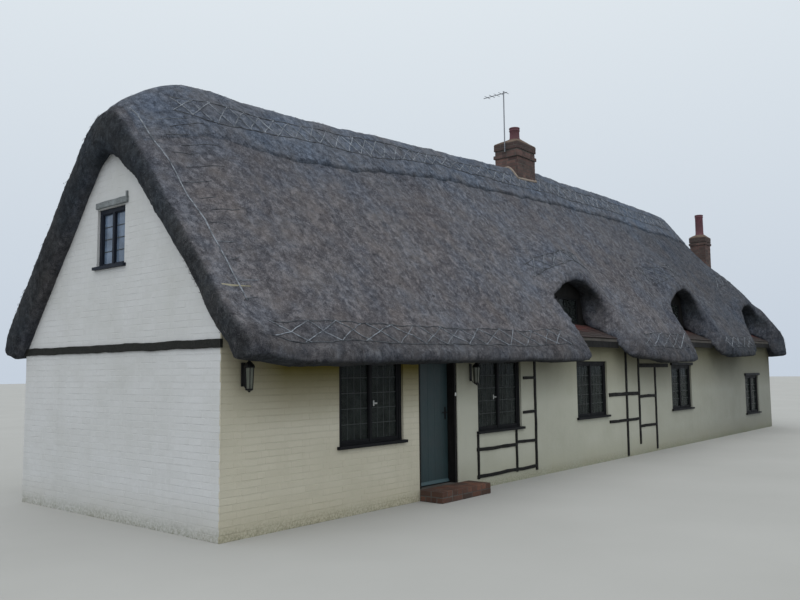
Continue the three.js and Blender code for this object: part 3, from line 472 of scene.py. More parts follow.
def brick_face(shape, place, left, right, bottom, top, rng, holes=(), keep=None, proud=0.004, parity=0,
               joint=0.01, tints=(0.0, 1.0)):
    """Courses of stretchers and headers on a flat face. Holes are (left, right, bottom, top)."""
    for row in range(round((top - bottom) / COURSE)):
        low = bottom + row * COURSE + joint / 2
        high = bottom + (row + 1) * COURSE - joint / 2
        cuts = sorted(hole[:2] for hole in holes if hole[2] < high - 0.015 and hole[3] > low + 0.015)
        edges = [left, *itertools.chain(*cuts), right]
        shifted = (row + parity) % 2
        u = left - BOND_SHIFT * shifted
        size, next_size = (HEADER, STRETCHER) if shifted else (STRETCHER, HEADER)
        while u < right:
            start = u + joint / 2 + rng.uniform(-0.002, 0.002)
            end = u + joint / 2 + size + rng.uniform(-0.002, 0.002)
            for span_start, span_end in zip(edges[::2], edges[1::2]):
                a, b = max(start, span_start), min(end, span_end)
                if b - a > SMALLEST_CUT and (keep is None or keep((a + b) / 2, (low + high) / 2)):
                    front = proud * rng.uniform(0.35, 1.25)
                    brick_low = low + rng.uniform(-0.0015, 0.0015)
                    brick_high = high + rng.uniform(-0.0015, 0.0015)
                    face_brick(shape, place, a, b, brick_low, brick_high, front, rng.uniform(*tints), rng)
            u += size + joint
            size, next_size = next_size, size


def rod(shape, path, radius, sides=6, tint=0.0, rng=None):
    """A rod along a path of points, closed at both ends"""
    path = [Vector(p) for p in path]
    rings = []
    for i, point in enumerate(path):
        ahead = (path[min(i + 1, len(path) - 1)] - path[max(i - 1, 0)]).normalized()
        across = ahead.cross(UP)
        if across.length < 0.05:
            across = ahead.cross(Vector((0, 1, 0)))
        across.normalize()
        up = across.cross(ahead).normalized()
        size = radius * (rng.uniform(0.75, 1.25) if rng else 1.0)
        rings.append([point + size * (c * across - s * up) for c, s in circle(sides)])
    shape.loft(rings, tint)


def turned(shape, centre, profile, sides=40, tint=0.0):
    """A ring turned round a vertical axis from a closed profile of (radius, height)"""
    x, y = centre
    rings = [[(x + r * c, y + r * s, z) for r, z in profile] for c, s in reversed(circle(sides))]
    shape.loft(rings, tint, closed=True)


# Thatch

COAT_NODES = ("thatch_front_slope", "thatch_back_slope", "thatch_hipped_end")
HIP_CUT = GABLE + 17.3
COAT_VOXEL = 0.058
KEPT_UNDERSIDE = 0.60
SLOPE_STRAWS = {"front": 7000, "back": 4000, "rims": 9000}
CAP_STRAWS = {"each edge": 1600, "top": 2600}


def joined_coat():
    """The three lengths of thatch as one mesh, without the faces where they were cut apart"""
    points, faces = [], []
    for name in COAT_NODES:
        mesh = NODES[name].data
        start = len(points)
        points += [v.co.copy() for v in mesh.vertices]
        for polygon in mesh.polygons:
            corners = [mesh.vertices[i].co for i in polygon.vertices]
            on_ridge = all(abs(c.y) < 0.001 for c in corners)
            on_cut = all(abs(c.x - HIP_CUT) < 0.001 for c in corners)
            if not (on_ridge or on_cut):
                faces.append([start + i for i in polygon.vertices])
    mesh = bpy.data.meshes.new("coat")
    mesh.from_pydata(points, [], faces)
    return mesh


def evaluated_mesh(piece):
    graph = bpy.context.evaluated_depsgraph_get()
    return bpy.data.meshes.new_from_object(piece.evaluated_get(graph))


def voxel_mesh(mesh, size):
    source = bpy.data.objects.new("source", mesh)
    scene.collection.objects.link(source)
    remesh = source.modifiers.new("remesh", "REMESH")
    remesh.mode = "VOXEL"
    remesh.voxel_size = size
    made = evaluated_mesh(source)
    bpy.data.objects.remove(source)
    return made


def read(what, name):
    """One vector for each vertex or normal, as rows of an array"""
    values = np.empty(len(what) * 3)
    what.foreach_get(name, values)
    return values.reshape(-1, 3)


def spread(values, edges, times_over):
    """The mean of each point and its neighbours, taken several times"""
    size = len(values)
    flat = values.reshape(size, -1)
    count = np.maximum(np.bincount(edges.ravel(), minlength=size), 1)
    for _ in range(times_over):
        total = np.stack([
            np.bincount(edges[:, 0], weights=column[edges[:, 1]], minlength=size)
            + np.bincount(edges[:, 1], weights=column[edges[:, 0]], minlength=size)
            for column in flat.T], 1)
        flat = 0.5 * flat + 0.5 * total / count[:, None]
    return flat.reshape(values.shape)


def smoothed(points, edges, times_over):
    """Softer than the points, with what the softening took from the broad form given back"""
    low = spread(points, edges, times_over)
    for _ in range(2):
        low = low + spread(points - low, edges, times_over)
    return low


def ramp01(values, low, high):
    share = np.clip((values - low) / (high - low), 0, 1)
    return share * share * (3 - 2 * share)


def straw_place(points):
    """Where each point lies along and across the straw, in metres"""
    x, y = points[:, 0], np.abs(points[:, 1])
    past = np.maximum(x - HIP, 0)
    turn = np.arctan2(past, np.maximum(y, 1e-4))
    return np.stack([np.minimum(x, HIP) + 2.2 * turn, np.hypot(past, y) * 1.78, points[:, 2]], 1)


def in_surface(directions, normals):
    """Unit vectors, the directions laid into the surface"""
    flat = directions - normals * (directions * normals).sum(1, keepdims=True)
    return flat / np.maximum(np.linalg.norm(flat, axis=1, keepdims=True), 1e-6)


def straw_flow(points, normals):
    """Unit vectors down the straw, in the surface"""
    past = np.maximum(points[:, 0] - HIP, 0)
    down = np.stack([past, points[:, 1], np.zeros(len(points))], 1)
    down /= np.maximum(np.linalg.norm(down, axis=1, keepdims=True), 1e-6)
    return in_surface(down, normals)


def noises(points, scale, seed):
    shift = Vector((seed * 7.3, seed * 3.1, seed * 5.7))
    return np.array([noise.noise(Vector(p) + shift) for p in (points * scale).tolist()])


# The outer face of the thatch: (distance from the gable, height) along ridge and eave, and the (distance,
# lift) of the hood over each dormer
RIDGE_LINE = [(0, 5.600), (1.2, 5.625), (2.6, 5.630), (4.0, 5.700), (5.6, 5.810), (10.5, 6.140),
              (15.7, 6.220), (18.0, 6.180)]
EAVE_LINE = [(0, 1.940), (8, 2.000), (20, 2.190)]
HOODS = [(8.27, 0.50), (13.735, 0.61), (18.85, 0.46)]
DORMERS = [GABLE + centre for centre, _ in HOODS]
HOOD_HALF_WIDTH = 1.5
ROLL_LENGTH = 1.2
HIP_RUN = 3.05


def roof_height(x, y):
    """Rolled over at the gable, hipped at the far end, lifted over the dormers and the far corner"""
    d, behind = x - GABLE, y - FRONT
    ridge, eave = np.interp(d, *zip(*RIDGE_LINE)), np.interp(d, *zip(*EAVE_LINE))
    roll = np.maximum(0, ROLL_LENGTH - d) / 1.6
    plane = ridge + 0.16 - 0.51 * roll ** 1.3
    rounding = plane - ridge + 0.83 * roll ** 2
    side_fall = (plane - eave) * np.abs(y) / EAVE_REACH
    hip_fall = (plane - eave) * np.maximum(0, x - HIP) / HIP_RUN
    fall = (side_fall ** 8 + hip_fall ** 8) ** 0.125
    height = plane - np.cbrt(rounding ** 3 + fall ** 3)
    up_slope = (1 - ramp01(behind, 0.1, 1.5)) * np.clip((behind + 0.45) / 0.45, 0, 1)
    for centre, lift in HOODS:
        across = np.minimum(1, np.abs(d - centre) / HOOD_HALF_WIDTH)
        height = height + lift * (1 - across ** 2) ** 2 * up_slope
    corner = ramp01(d, 19.3, 19.95) * (1 - ramp01(d, 20.35, 20.75))
    return height + 0.4 * corner * ramp01(behind, -0.6, -0.4) * (1 - ramp01(behind, -0.1, 0.7))


def below_roof(points):
    """How far each point lies under the outer face of the thatch"""
    return roof_height(points[:, 0], points[:, 1]) - points[:, 2]


def bluish(points):
    """The straw is bluer by the ridge, round the dormers and towards the far end"""
    ridge = ramp01(-np.abs(points[:, 1]), -1.4, -0.5)
    far = ramp01(points[:, 0], -2.0, 9.0) * 0.6
    hoods = np.zeros(len(points))
    for x in DORMERS:
        away = np.hypot((points[:, 0] - x) / 1.7, (points[:, 1] + 1.7) / 1.1)
        hoods = np.maximum(hoods, np.exp(-away ** 2) * 0.8)
    return np.clip(np.maximum(ridge, hoods) * 0.8 + far, 0, 1)


def add_attributes(mesh, points, edge):
    straw = mesh.attributes.new("straw", "FLOAT_VECTOR", "POINT")
    straw.data.foreach_set("vector", straw_place(points).ravel())
    for name, values in (("edge", edge), ("blue", bluish(points))):
        layer = mesh.attributes.new(name, "FLOAT", "POINT")
        layer.data.foreach_set("value", values)


def set_on_roof(points, normals, edges):
    """Moves the top of the coat onto its outer face and softens the rest"""
    rise = below_roof(points)
    outer = spread(((normals[:, 2] > 0.25) & (np.abs(rise) < 0.15)).astype(float), edges, 2)
    outer = ramp01(outer, 0.4, 0.85)
    points[:, 2] += rise * outer
    on_top = spread((normals[:, 2] > -0.3).astype(float), edges, 4)
    soften = np.maximum(ramp01(on_top, 0.6, 1.0), 0.25) * (1 - 0.9 * outer)
    points += (smoothed(points, edges, 10) - points) * soften[:, None]


def trim_rims(points):
    """Thins the front verge half way up, lifts the corner of the eave and lowers the first lobe"""
    from_gable, from_ridge = points[:, 0] - GABLE, -points[:, 1]
    inner = ramp01(below_roof(points), 0.12, 0.35)
    arch = ramp01(from_ridge, 0.3, 0.9) * (1 - ramp01(from_ridge, 1.7, 2.6))
    arch = arch * (1 - ramp01(from_gable, 0.0, 0.5))
    corner = ramp01(from_ridge, 2.0, 2.45) * (1 - ramp01(from_gable, -0.1, 0.75))
    corner = corner * (1 - ramp01(points[:, 2], 2.05, 2.5))
    points[:, 2] += 0.12 * inner * arch + 0.11 * corner
    lobe = ramp01(from_gable, 10.2, 11.2) * (1 - ramp01(from_gable, 12.9, 13.3))
    points[:, 2] -= 0.075 * lobe * ramp01(from_ridge, 2.1, 2.5) * (1 - ramp01(points[:, 2], 2.1, 2.45))


def roughen(points, normals):
    place = straw_place(points)
    swell = noises(place * (1, 0.6, 0), 0.9, 1) * 0.026
    lumps = noises(place * (1, 0.45, 0), 4.0, 2) * 0.011
    tufts = noises(place * (1, 0.5, 0), 9.0, 3) * 0.006
    points += normals * (swell + lumps + tufts)[:, None]


def shaded_edges(points, normals):
    """Painted shade for each place: verge (shade and moss), rims, underside, the throats of the dormers and
    the far end
    """
    on_verge = ramp01(-normals[:, 0], 0.35, 0.75) * (points[:, 0] < GABLE + 0.2)
    on_verge = on_verge * (1 - 0.5 * ramp01(points[:, 2], 4.85, 5.3))
    # Painted shade on the eave rims and towards the far end
    rim_and_far_shade = 0.45 * ramp01(np.abs(points[:, 1]), 2.45, 2.75) + 0.42 * ramp01(points[:, 0], -1.0, 7.0)
    throat = np.zeros(len(points))
    for x in DORMERS:
        near = ramp01(-np.abs(points[:, 0] - x), -1.35, -0.9) * (points[:, 1] < -1.0)
        throat = np.maximum(throat, near * ramp01(points[:, 2], 2.6, 3.2))
    throat *= ramp01(below_roof(points), 0.10, 0.26)
    under_rim = ramp01(-normals[:, 2], 0.35, 0.8)
    return np.maximum(np.maximum(under_rim, on_verge), np.maximum(rim_and_far_shade, throat))


def thin_underside(piece, normals):
    """Fewer faces where nobody looks, under the thatch"""
    group = piece.vertex_groups.new(name="underside")
    under = np.nonzero(normals[:, 2] < -0.3)[0]
    group.add(under.tolist(), 1.0, "REPLACE")
    thin = piece.modifiers.new("thin", "DECIMATE")
    thin.vertex_group = "underside"
    thin.ratio = KEPT_UNDERSIDE
    made = evaluated_mesh(piece)
    piece.modifiers.clear()
    piece.data = made
    made.shade_smooth()


def thatch_coat():
    mesh = voxel_mesh(joined_coat(), COAT_VOXEL)
    points = read(mesh.vertices, "co")
    edges = np.empty(len(mesh.edges) * 2, dtype=np.int64)
    mesh.edges.foreach_get("vertices", edges)
    edges = edges.reshape(-1, 2)
    set_on_roof(points, read(mesh.vertex_normals, "vector"), edges)
    trim_rims(points)
    mesh.vertices.foreach_set("co", points.ravel())
    mesh.update()
    normals = read(mesh.vertex_normals, "vector")
    roughen(points, normals)
    mesh.vertices.foreach_set("co", points.ravel())
    add_attributes(mesh, points, spread(shaded_edges(points, normals), edges, 1))
    piece = place_mesh("thatch_coat", mesh, THATCH, "thatch", *COAT_NODES, smooth=True)
    thin_underside(piece, normals)
    return piece


def tree_of(piece):
    points = [v.co for v in piece.data.vertices]
    return BVHTree.FromPolygons(points, [p.vertices[:] for p in piece.data.polygons])


def from_above(tree, x, y):
    """Place and normal of the first face below the sky, or None and None"""
    return tree.ray_cast(Vector((x, y, 9)), -UP)[:2]


coat = thatch_coat()
coat_points = read(coat.data.vertices, "co")
coat_normals = read(coat.data.vertex_normals, "vector")
coat_tree = tree_of(coat)


# Ridge cap: a second layer bent over the ridge. CAP_EDGE is (distance from the gable, half width).
CAP_EDGE = [(0.9, 0.70), (1.6, 0.74), (2.2, 0.76), (3.3, 0.72), (4.9, 0.61), (6.5, 0.57), (9.5, 0.60),
            (12.5, 0.57), (15.0, 0.60)]
CAP_LENGTH = 18.15
# The chimneys: place, length and width. The first stands in the ridge.
STACK_1 = (GABLE + 9.585, 0.0, 0.73, 0.56)
STACK_2 = (GABLE + 19.6, -0.535, 0.46, 0.46)


def cap_half_width(x, side):
    wide = float(np.interp(x - GABLE, *zip(*CAP_EDGE)))
    waves = 0.03 * noise.noise(Vector((x * 0.9, side * 5, 0)))
    return wide + waves + 0.022 * noise.noise(Vector((x * 6, side * 9, 1)))


def cap_ground(x, y):
    """A place on the coat, or on its smooth form round the first stack and where the coat is broken"""
    ground, _ = from_above(coat_tree, x, y)
    smooth_height = float(roof_height(x, y))
    stack_x, _, length, width = STACK_1
    by_stack = abs(x - stack_x) < length / 2 + 0.2 and abs(y) < width / 2 + 0.25
    if ground is None or by_stack or abs(ground.z - smooth_height) > 0.15:
        return Vector((x, y, smooth_height))
    return ground


def cap_thickness(x, y, off_ridge):
    """Thick at the ridge, thin at the cut edge and at both ends; off_ridge is 1 at the edge"""
    from_gable = x - GABLE
    whole = 0.02 + 0.056 * ramp01(from_gable, 0.0, 0.9) * ramp01(CAP_LENGTH - from_gable, 0.0, 0.5)
    rim = 0.002 + 0.026 * ramp01(from_gable, 0.9, 2.8)
    thick = whole + (rim - whole) * max(0.0, off_ridge - 0.45) / 0.55
    bumps = 0.012 * noise.noise(Vector((x * 4, y * 3, 0))) + 0.006 * noise.noise(Vector((x * 12, y * 5, 3)))
    return thick + bumps


def sheet_faces(rows, columns):
    """Faces of a sheet with a top, then an underside of as many points, closed at its four edges"""
    half = rows * columns
    faces = []
    for i in range(rows - 1):
        for j in range(columns - 1):
            a, b = i * columns + j, (i + 1) * columns + j
            faces.append((a, b, b + 1, a + 1))
            faces.append((half + a + 1, half + b + 1, half + b, half + a))
    sides = [(i * columns, (i + 1) * columns) for i in range(rows - 1)]
    sides += [(b + columns - 1, a + columns - 1) for a, b in sides]
    ends = [((rows - 1) * columns + j, (rows - 1) * columns + j + 1) for j in range(columns - 1)]
    ends += [(j + 1, j) for j in range(columns - 1)]
    faces += [(a, half + a, half + b, b) for a, b in sides + ends]
    return faces


def ridge_cap():
    steps_along, steps_across = 300, 26
    start, end = GABLE - 0.02, GABLE + CAP_LENGTH
    top, under = [], []
    for i in range(steps_along + 1):
        at = start + (end - start) * i / steps_along
        for j in range(steps_across + 1):
            share = 2 * j / steps_across - 1
            side = -1 if share < 0 else 1
            x, y, z = cap_ground(at, side * abs(share) ** 0.8 * cap_half_width(at, side))
            top.append((x, y, z + cap_thickness(x, y, abs(share))))
            under.append((x, y * 0.985, z - 0.09))
    mesh = bpy.data.meshes.new("ridge_thatch_cap")
    mesh.from_pydata(top + under, [], sheet_faces(steps_along + 1, steps_across + 1))
    mesh.update()
    places = np.array(top + under)
    columns = np.tile(np.arange(steps_across + 1), 2 * (steps_along + 1))
    # Painted shadow along both cut edges of the cap, by the edge attribute
    edge = ((columns == 0) | (columns == steps_across)) * 0.55 * ramp01(places[:, 0] - GABLE, 0.8, 3.0)
    add_attributes(mesh, places, edge)
    return place_mesh("ridge_thatch_cap", mesh, RIDGE, "ridge_thatch", "ridge_cap", smooth=True)


cap_tree = tree_of(ridge_cap())


def on_roof(x, y, lift):
    """The outer face of cap or coat over a place on the plan"""
    hits = [from_above(tree, x, y) for tree in (cap_tree, coat_tree)]
    found = [place + normal * lift for place, normal in hits if place]
    return max(found, key=lambda p: p.z) if found else None


def straws(name, places, normals, flows, length, width, rise, material, slot, edge, rng):
    """Thin straws lying down the slope: each a three-sided spike that lifts at its lower end"""
    count = len(places)
    lengths, widths, rises = (rng.uniform(*limits, count)[:, None] for limits in (length, width, rise))
    turn = rng.normal(0, 0.5, count)[:, None]
    flows = flows * np.cos(turn) + np.cross(normals, flows) * np.sin(turn)
    across = np.cross(normals, flows)
    upper = places - flows * lengths * 0.5 - normals * 0.006
    lower = places + flows * lengths * 0.5 + normals * rises
    corners = np.stack([
        upper - across * widths, upper + across * widths, upper + normals * widths * 1.2,
        lower - across * widths * 0.7, lower + across * widths * 0.7, lower + normals * widths * 0.9,
    ], 1).reshape(-1, 3)
    spike = [(0, 1, 4), (0, 4, 3), (1, 2, 5), (1, 5, 4), (2, 0, 3), (2, 3, 5), (0, 2, 1), (3, 4, 5)]
    faces = (np.array(spike)[None] + 6 * np.arange(count)[:, None, None]).reshape(-1, 3)
    mesh = bpy.data.meshes.new(name)
    mesh.from_pydata(corners.tolist(), [], faces.tolist())
    # edge is the painted shade of these straws, as on the coat
    add_attributes(mesh, corners, np.full(len(corners), edge))
    place_mesh(name, mesh, material, slot, smooth=True)


def loose_straws(rng):
    """Straws on the slopes, most of them on the near part of the front"""
    top = np.nonzero((coat_normals[:, 2] > 0.35) & (np.abs(coat_points[:, 1]) > 0.6))[0]
    front = top[coat_points[top, 1] < 0]
    back = top[coat_points[top, 1] >= 0]
    near = 1 - 0.8 * ramp01(coat_points[front, 0], -4.0, 3.0)
    on_front = rng.choice(front, SLOPE_STRAWS["front"], p=near / near.sum())
    chosen = np.concatenate([on_front, rng.choice(back, SLOPE_STRAWS["back"])])
    normals = coat_normals[chosen]
    places = coat_points[chosen] + rng.normal(0, 0.02, (len(chosen), 3)) * (1, 1, 0)
    straws("loose_straws", places, normals, straw_flow(coat_points[chosen], normals), (0.02, 0.06),
           (0.0016, 0.0032), (0.0, 0.005), THATCH, "thatch", 0.0, rng)


def cut_ends(rng):
    """Straws round the cut rims of the thatch, pointing down"""
    upright = np.abs(coat_normals[:, 2] - 0.12) < 0.45
    outward = (np.abs(coat_normals[:, 1]) > 0.4) | (np.abs(coat_normals[:, 0]) > 0.5)
    chosen = rng.choice(np.nonzero(upright & outward)[0], SLOPE_STRAWS["rims"])
    normals = coat_normals[chosen]
    steep = np.full(len(chosen), 0.83)
    down = np.stack([np.zeros(len(chosen)), np.sign(coat_points[chosen, 1]) * 0.55, -steep], 1)
    places = coat_points[chosen] + rng.normal(0, 0.01, (len(chosen), 3))
    # The rim straws take painted shade of 0.3
    straws("cut_ends", places, normals, in_surface(down, normals), (0.03, 0.07), (0.002, 0.004),
           (0.002, 0.010), THATCH, "thatch", 0.3, rng)


def cap_straws(rng):
    """Straws along both edges of the ridge cap, then all over it"""
    plan, end = [], GABLE + 18.1
    for side in (-1, 1):
        for _ in range(CAP_STRAWS["each edge"]):
            x = rng.uniform(GABLE + 0.02, end)
            plan.append((x, side * (cap_half_width(x, side) - rng.uniform(0.0, 0.05))))
    plan += [(rng.uniform(GABLE + 0.05, end), rng.uniform(-0.66, 0.66)) for _ in range(CAP_STRAWS["top"])]
    hits = [hit for hit in (from_above(cap_tree, x, y) for x, y in plan) if hit[0]]
    places, normals = (np.array([tuple(hit[k]) for hit in hits]) for k in (0, 1))
    straws("cap_straws", places, normals, straw_flow(places, normals), (0.04, 0.12), (0.0018, 0.0034),
           (0.001, 0.008), RIDGE, "ridge_thatch", 0.0, rng)


slope_rng = np.random.default_rng(7)
loose_straws(slope_rng)
cut_ends(slope_rng)
cap_straws(np.random.default_rng(11))


# Rods that hold the thatch

ROD_STEP, SPAR_STEP = 0.14, 0.1


def lay(shape, plan, radius, lift, rng, step, tint):
    """A rod laid on the roof along a line on the plan"""
    path = []
    for (x0, y0), (x1, y1) in zip(plan, plan[1:]):
        count = max(1, int(math.hypot(x1 - x0, y1 - y0) / step))
        path += [(x0 + (x1 - x0) * k / count, y0 + (y1 - y0) * k / count) for k in range(count)]
    path.append(plan[-1])
    path = [(x + rng.uniform(-0.008, 0.008), y + rng.uniform(-0.006, 0.006)) for x, y in path]
    points = [p for p in (on_roof(x, y, lift) for x, y in path) if p]
    if len(points) > 1:
        rod(shape, points, radius, 6, tint, rng)


def along_line(points):
    """A function from a share of the length to a place on a line of (x, y) points"""
    lengths = [0, *itertools.accumulate(math.dist(a, b) for a, b in zip(points, points[1:]))]
    return lambda share: tuple(np.interp(share * lengths[-1], lengths, column) for column in zip(*points))


def band(shape, upper, lower, spacing, rng, pale):
    """Rods along two lines on the plan, with crossed spars between them"""
    upper, lower = along_line(upper), along_line(lower)
    count = 60
    for line in (upper, lower):
        lay(shape, [line(k / count) for k in range(count + 1)], 0.007, 0.003, rng, ROD_STEP, pale * 0.2)
    length = sum(math.dist(upper(k / 20), upper((k + 1) / 20)) for k in range(20))
    spans = max(1, round(length / spacing))
    for k in range(spans):
        a, b = k / spans, (k + 1) / spans
        jitter = [rng.uniform(-0.16, 0.16) / spans for _ in range(4)]
        spars = ((upper(a + jitter[0]), lower(b + jitter[1])), (lower(a + jitter[2]), upper(b + jitter[3])))
        for start, end in spars:
            lay(shape, [start, end], 0.006, 0.006, rng, SPAR_STEP, pale * rng.uniform(0.7, 1.5))


def from_gable(line, side):
    """Places on the plan from (distance to the gable's face, distance to the ridge)"""
    return [(GABLE + distance, side * y) for distance, y in line]


# Pairs of lines on either side of crossed spars, and the rods of the verge
CAP_RODS = (
    [(0.62, 0.24), (0.80, 0.31), (2.0, 0.30), (3.4, 0.24), (17.4, 0.24)],
    [(0.58, 0.40), (0.66, 0.435), (1.0, 0.52), (1.3, 0.557), (1.8, 0.52), (2.6, 0.47), (3.4, 0.457),
     (4.4, 0.47), (6.3, 0.37), (9.0, 0.43), (17.4, 0.43)])
FRONT_LOBES = [(-9.90, -3.50, -10.0, -3.40), (-0.05, 2.2, -0.5, 2.05), (4.68, 6.98, 4.5, 6.85)]
HOOD_RODS = [
    ([(7.05, 1.69), (7.32, 1.69), (7.71, 1.71), (8.06, 1.75), (8.93, 1.56), (9.40, 1.48)],
     [(7.06, 1.87), (7.37, 1.89), (7.65, 1.91), (8.12, 1.94), (8.82, 1.79), (9.47, 1.68)]),
    ([(12.35, 1.48), (12.82, 1.54), (13.34, 1.69), (14.0, 1.60), (15.1, 1.36)],
     [(12.55, 1.78), (12.84, 1.85), (13.05, 1.90), (13.53, 1.94), (14.4, 1.80), (15.2, 1.52)]),
    ([(17.775, 1.40), (18.275, 1.44), (18.775, 1.42), (19.175, 1.32)],
     [(17.775, 1.60), (18.275, 1.66), (18.775, 1.64), (19.225, 1.50)]),
]
VERGE_ROD = [(0.035, 0.29), (0.075, 0.50), (0.099, 0.70), (0.157, 0.935), (0.177, 1.32), (0.232, 1.59),
             (0.243, 1.97), (0.235, 2.35)]
# Short rods by the verge: distance to the ridge, start and end from the gable's face
VERGE_SPARS = [(0.50, 0.29, 0.73), (0.66, 0.31, 0.65), (0.875, 0.285, 0.63), (1.195, 0.23, 0.61),
               (1.36, 0.32, 0.55), (1.61, 0.27, 0.53), (1.79, 0.25, 0.48), (1.96, 0.30, 0.45),
               (2.16, 0.255, 0.54), (2.34, 0.19, 0.41), (0.58, 0.42, 0.95), (0.78, 0.45, 1.0),
               (1.03, 0.36, 0.92), (1.48, 0.40, 0.80)]


def verge_rods(shape, side, rng):
    lay(shape, from_gable(VERGE_ROD, side), 0.008, 0.004, rng, SPAR_STEP, 0.75)
    for k, (y, start, end) in enumerate(VERGE_SPARS):
        tint = rng.choice((0.15, 0.25, 0.5)) if k < 6 else rng.choice((0.2, 0.6, 0.8))
        if k > 9:
            tint = 0.1
        line = [(start, y), (end, y + rng.uniform(-0.03, 0.02))]
        lay(shape, from_gable(line, side), 0.005, 0.002, rng, SPAR_STEP, tint)


def roof_rods():
    rng = random.Random(21)
    shape = Shape()
    for side in (-1, 1):
        upper, lower = (from_gable(line, side) for line in CAP_RODS)
        band(shape, upper, lower, 0.29, rng, pale=0.7)
    for upper_start, upper_end, lower_start, lower_end in FRONT_LOBES:
        band(shape, [(upper_start, -2.54), (upper_end, -2.53)], [(lower_start, -2.71), (lower_end, -2.70)],
             0.50, rng, pale=0.6)
    band(shape, [(-10.1, 2.53), (7.2, 2.53)], [(-10.1, 2.71), (7.2, 2.70)], 0.50, rng, pale=0.5)
    for hood in HOOD_RODS:
        upper, lower = (from_gable(line, -1) for line in hood)
        band(shape, upper, lower, 0.34, rng, pale=0.45)
    for side in (-1, 1):
        verge_rods(shape, side, rng)
    shape.make("hazel_rods", HAZEL, "thatch")


roof_rods()


# Walls

def front_place(u, v, w):
    return (u, FRONT - w, v)


def gable_place(u, v, w):
    return (GABLE - w, -u, v)


# Windows: distance from the gable, or the middle of the one in the gable, then width, sill and head
GABLE_WINDOW = (0.035, 0.65, 3.062, 3.834)
FRONT_WINDOWS = [(1.765, 1.215, 0.81, 1.95), (4.725, 1.245, 0.805, 1.95), (7.90, 1.24, 0.84, 1.90),
                 (12.42, 1.24, 0.80, 1.83), (17.78, 1.24, 0.46, 1.54)]
BACK_WINDOWS = [(2.40, 1.24, 0.83, 1.83), (8.20, 1.24, 0.83, 1.83), (14.20, 1.24, 0.83, 1.83)]


def under_thatch(u, v):
    """Whether a place on the gable is below the coat, or only just inside it"""
    hit = coat_tree.ray_cast(Vector((GABLE - 0.01, -u, 0)), UP)
    return hit[0] is None or v < hit[0].z + 0.09


def gable_bricks(rng):
    shape = Shape()
    y, width, sill, head = GABLE_WINDOW
    window = (-y - width / 2 - 0.004, -y + width / 2 + 0.004, sill, head)
    lintel = (-0.372, 0.372, 3.840, 3.928)
    beam = (-3, 3, 2.013, 2.112)
    brick_face(shape, gable_place, -2.219, 2.219, 0.0, 5.25, rng, [window, lintel, beam], under_thatch,
               proud=0.0015, joint=0.006)
    shape.make("gable_bricks", WHITE_BRICK, "white_brick")


def front_bricks(rng):
    shape = Shape()
    start, wide, sill, head = FRONT_WINDOWS[0]
    window = (GABLE + start - 0.004, GABLE + start + wide + 0.004, sill, head)
    sill_ends = (GABLE + start - 0.045, GABLE + start + wide + 0.045, sill - 0.002, sill + 0.042)
    lantern_plate = (GABLE + 0.258, GABLE + 0.322, 1.598, 1.862)
    brick_face(shape, front_place, GABLE - 0.003, GABLE + 3.306, 0.0, 2.7, rng,
               [window, sill_ends, lantern_plate], parity=1, proud=0.002, joint=0.006)
    brick_face(shape, front_place, GABLE + 3.312, GABLE + 4.198, 2.04, 2.64, rng)
    shape.make("front_bricks", CREAM_BRICK, "cream_brick")


wall_rng = random.Random(5)
gable_bricks(wall_rng)
front_bricks(wall_rng)
put_material(WHITE_BRICK, "gable_wall")
put_material(CREAM_BRICK, "front_wall_left", "front_wall_over_door")
put_material(CREAM_RENDER, "front_wall_middle", "front_wall_right", "far_end_wall", "back_wall_left",
             "back_wall_right")
put_material(FLAGS, "ground_floor")
put_material(BOARDS, "attic_floor")


# Chimneys

def stack_bricks(number, stack, low, band_at, cap_at):
    """Courses round the stack, with a projecting band and a projecting top of two courses"""
    rng = random.Random(30 + number)
    x, y, length, width = stack
    shape = Shape()
    proud = 0.004

    def courses(bottom, top, out, parity, tints=(0.0, 0.75)):
        for k, (out_x, out_y) in enumerate(((0, -1), (0, 1), (-1, 0), (1, 0))):
            reach = (width if out_y else length) / 2 + out
            half = (length if out_y else width) / 2 + out

            def place(u, v, w):
                return (x - out_y * u + out_x * (reach + w), y + out_x * u + out_y * (reach + w), v)

            brick_face(shape, place, -half - proud, half + proud, bottom, top, rng, parity=parity + k // 2,
                       joint=0.009, tints=tints)

    plain_rows = int((band_at - low) / COURSE)
    top_rows = int((cap_at - 0.13 - band_at - COURSE) / COURSE)
    courses(band_at - plain_rows * COURSE, band_at, 0.0, 0)
    courses(band_at, band_at + COURSE, 0.028, 1)
    courses(band_at + COURSE, band_at + COURSE * (1 + top_rows), 0.0, 0)
    courses(cap_at - 0.15, cap_at, 0.018, 1, (0.0, 0.12))
    shape.make(f"chimney_{number}_bricks", BRICK, "red_brick")


def fillet(number, stack, cap_at, pot_radius, pot_bottom):
    """Mortar round the pot, sloping from the square stack up to the round pot"""
    x, y, length, width = stack
    sides = 48
    foot, head = cap_at - 0.01, pot_bottom + 0.022
    levels = [(0.0, foot), (0.0, cap_at + 0.016), (0.45, (cap_at + pot_bottom) / 2 + 0.02), (1.0, head)]
    rings = []
    for share, z in levels:
        ring = []
        for k, (c, s) in enumerate(circle(sides)):
            square = 1 / max(abs(c), abs(s))
            square_x, square_y = c * square * (length / 2 + 0.012), s * square * (width / 2 + 0.012)
            round_x, round_y = c * (pot_radius + 0.026), s * (pot_radius + 0.026)
            lump = 1 + 0.02 * noise.noise(Vector((k * math.tau / sides * 3, share * 4, number)))
            ring.append((x + (square_x + (round_x - square_x) * share) * lump,
                         y + (square_y + (round_y - square_y) * share) * lump, z))
        rings.append(ring)
    for z in (head, foot):
        rings.append([(x + c * 0.03, y + s * 0.03, z) for c, s in circle(sides)])
    shape = Shape()
    shape.loft(rings, closed=True)
    shape.make(f"chimney_{number}_fillet", FILLET, "red_brick")


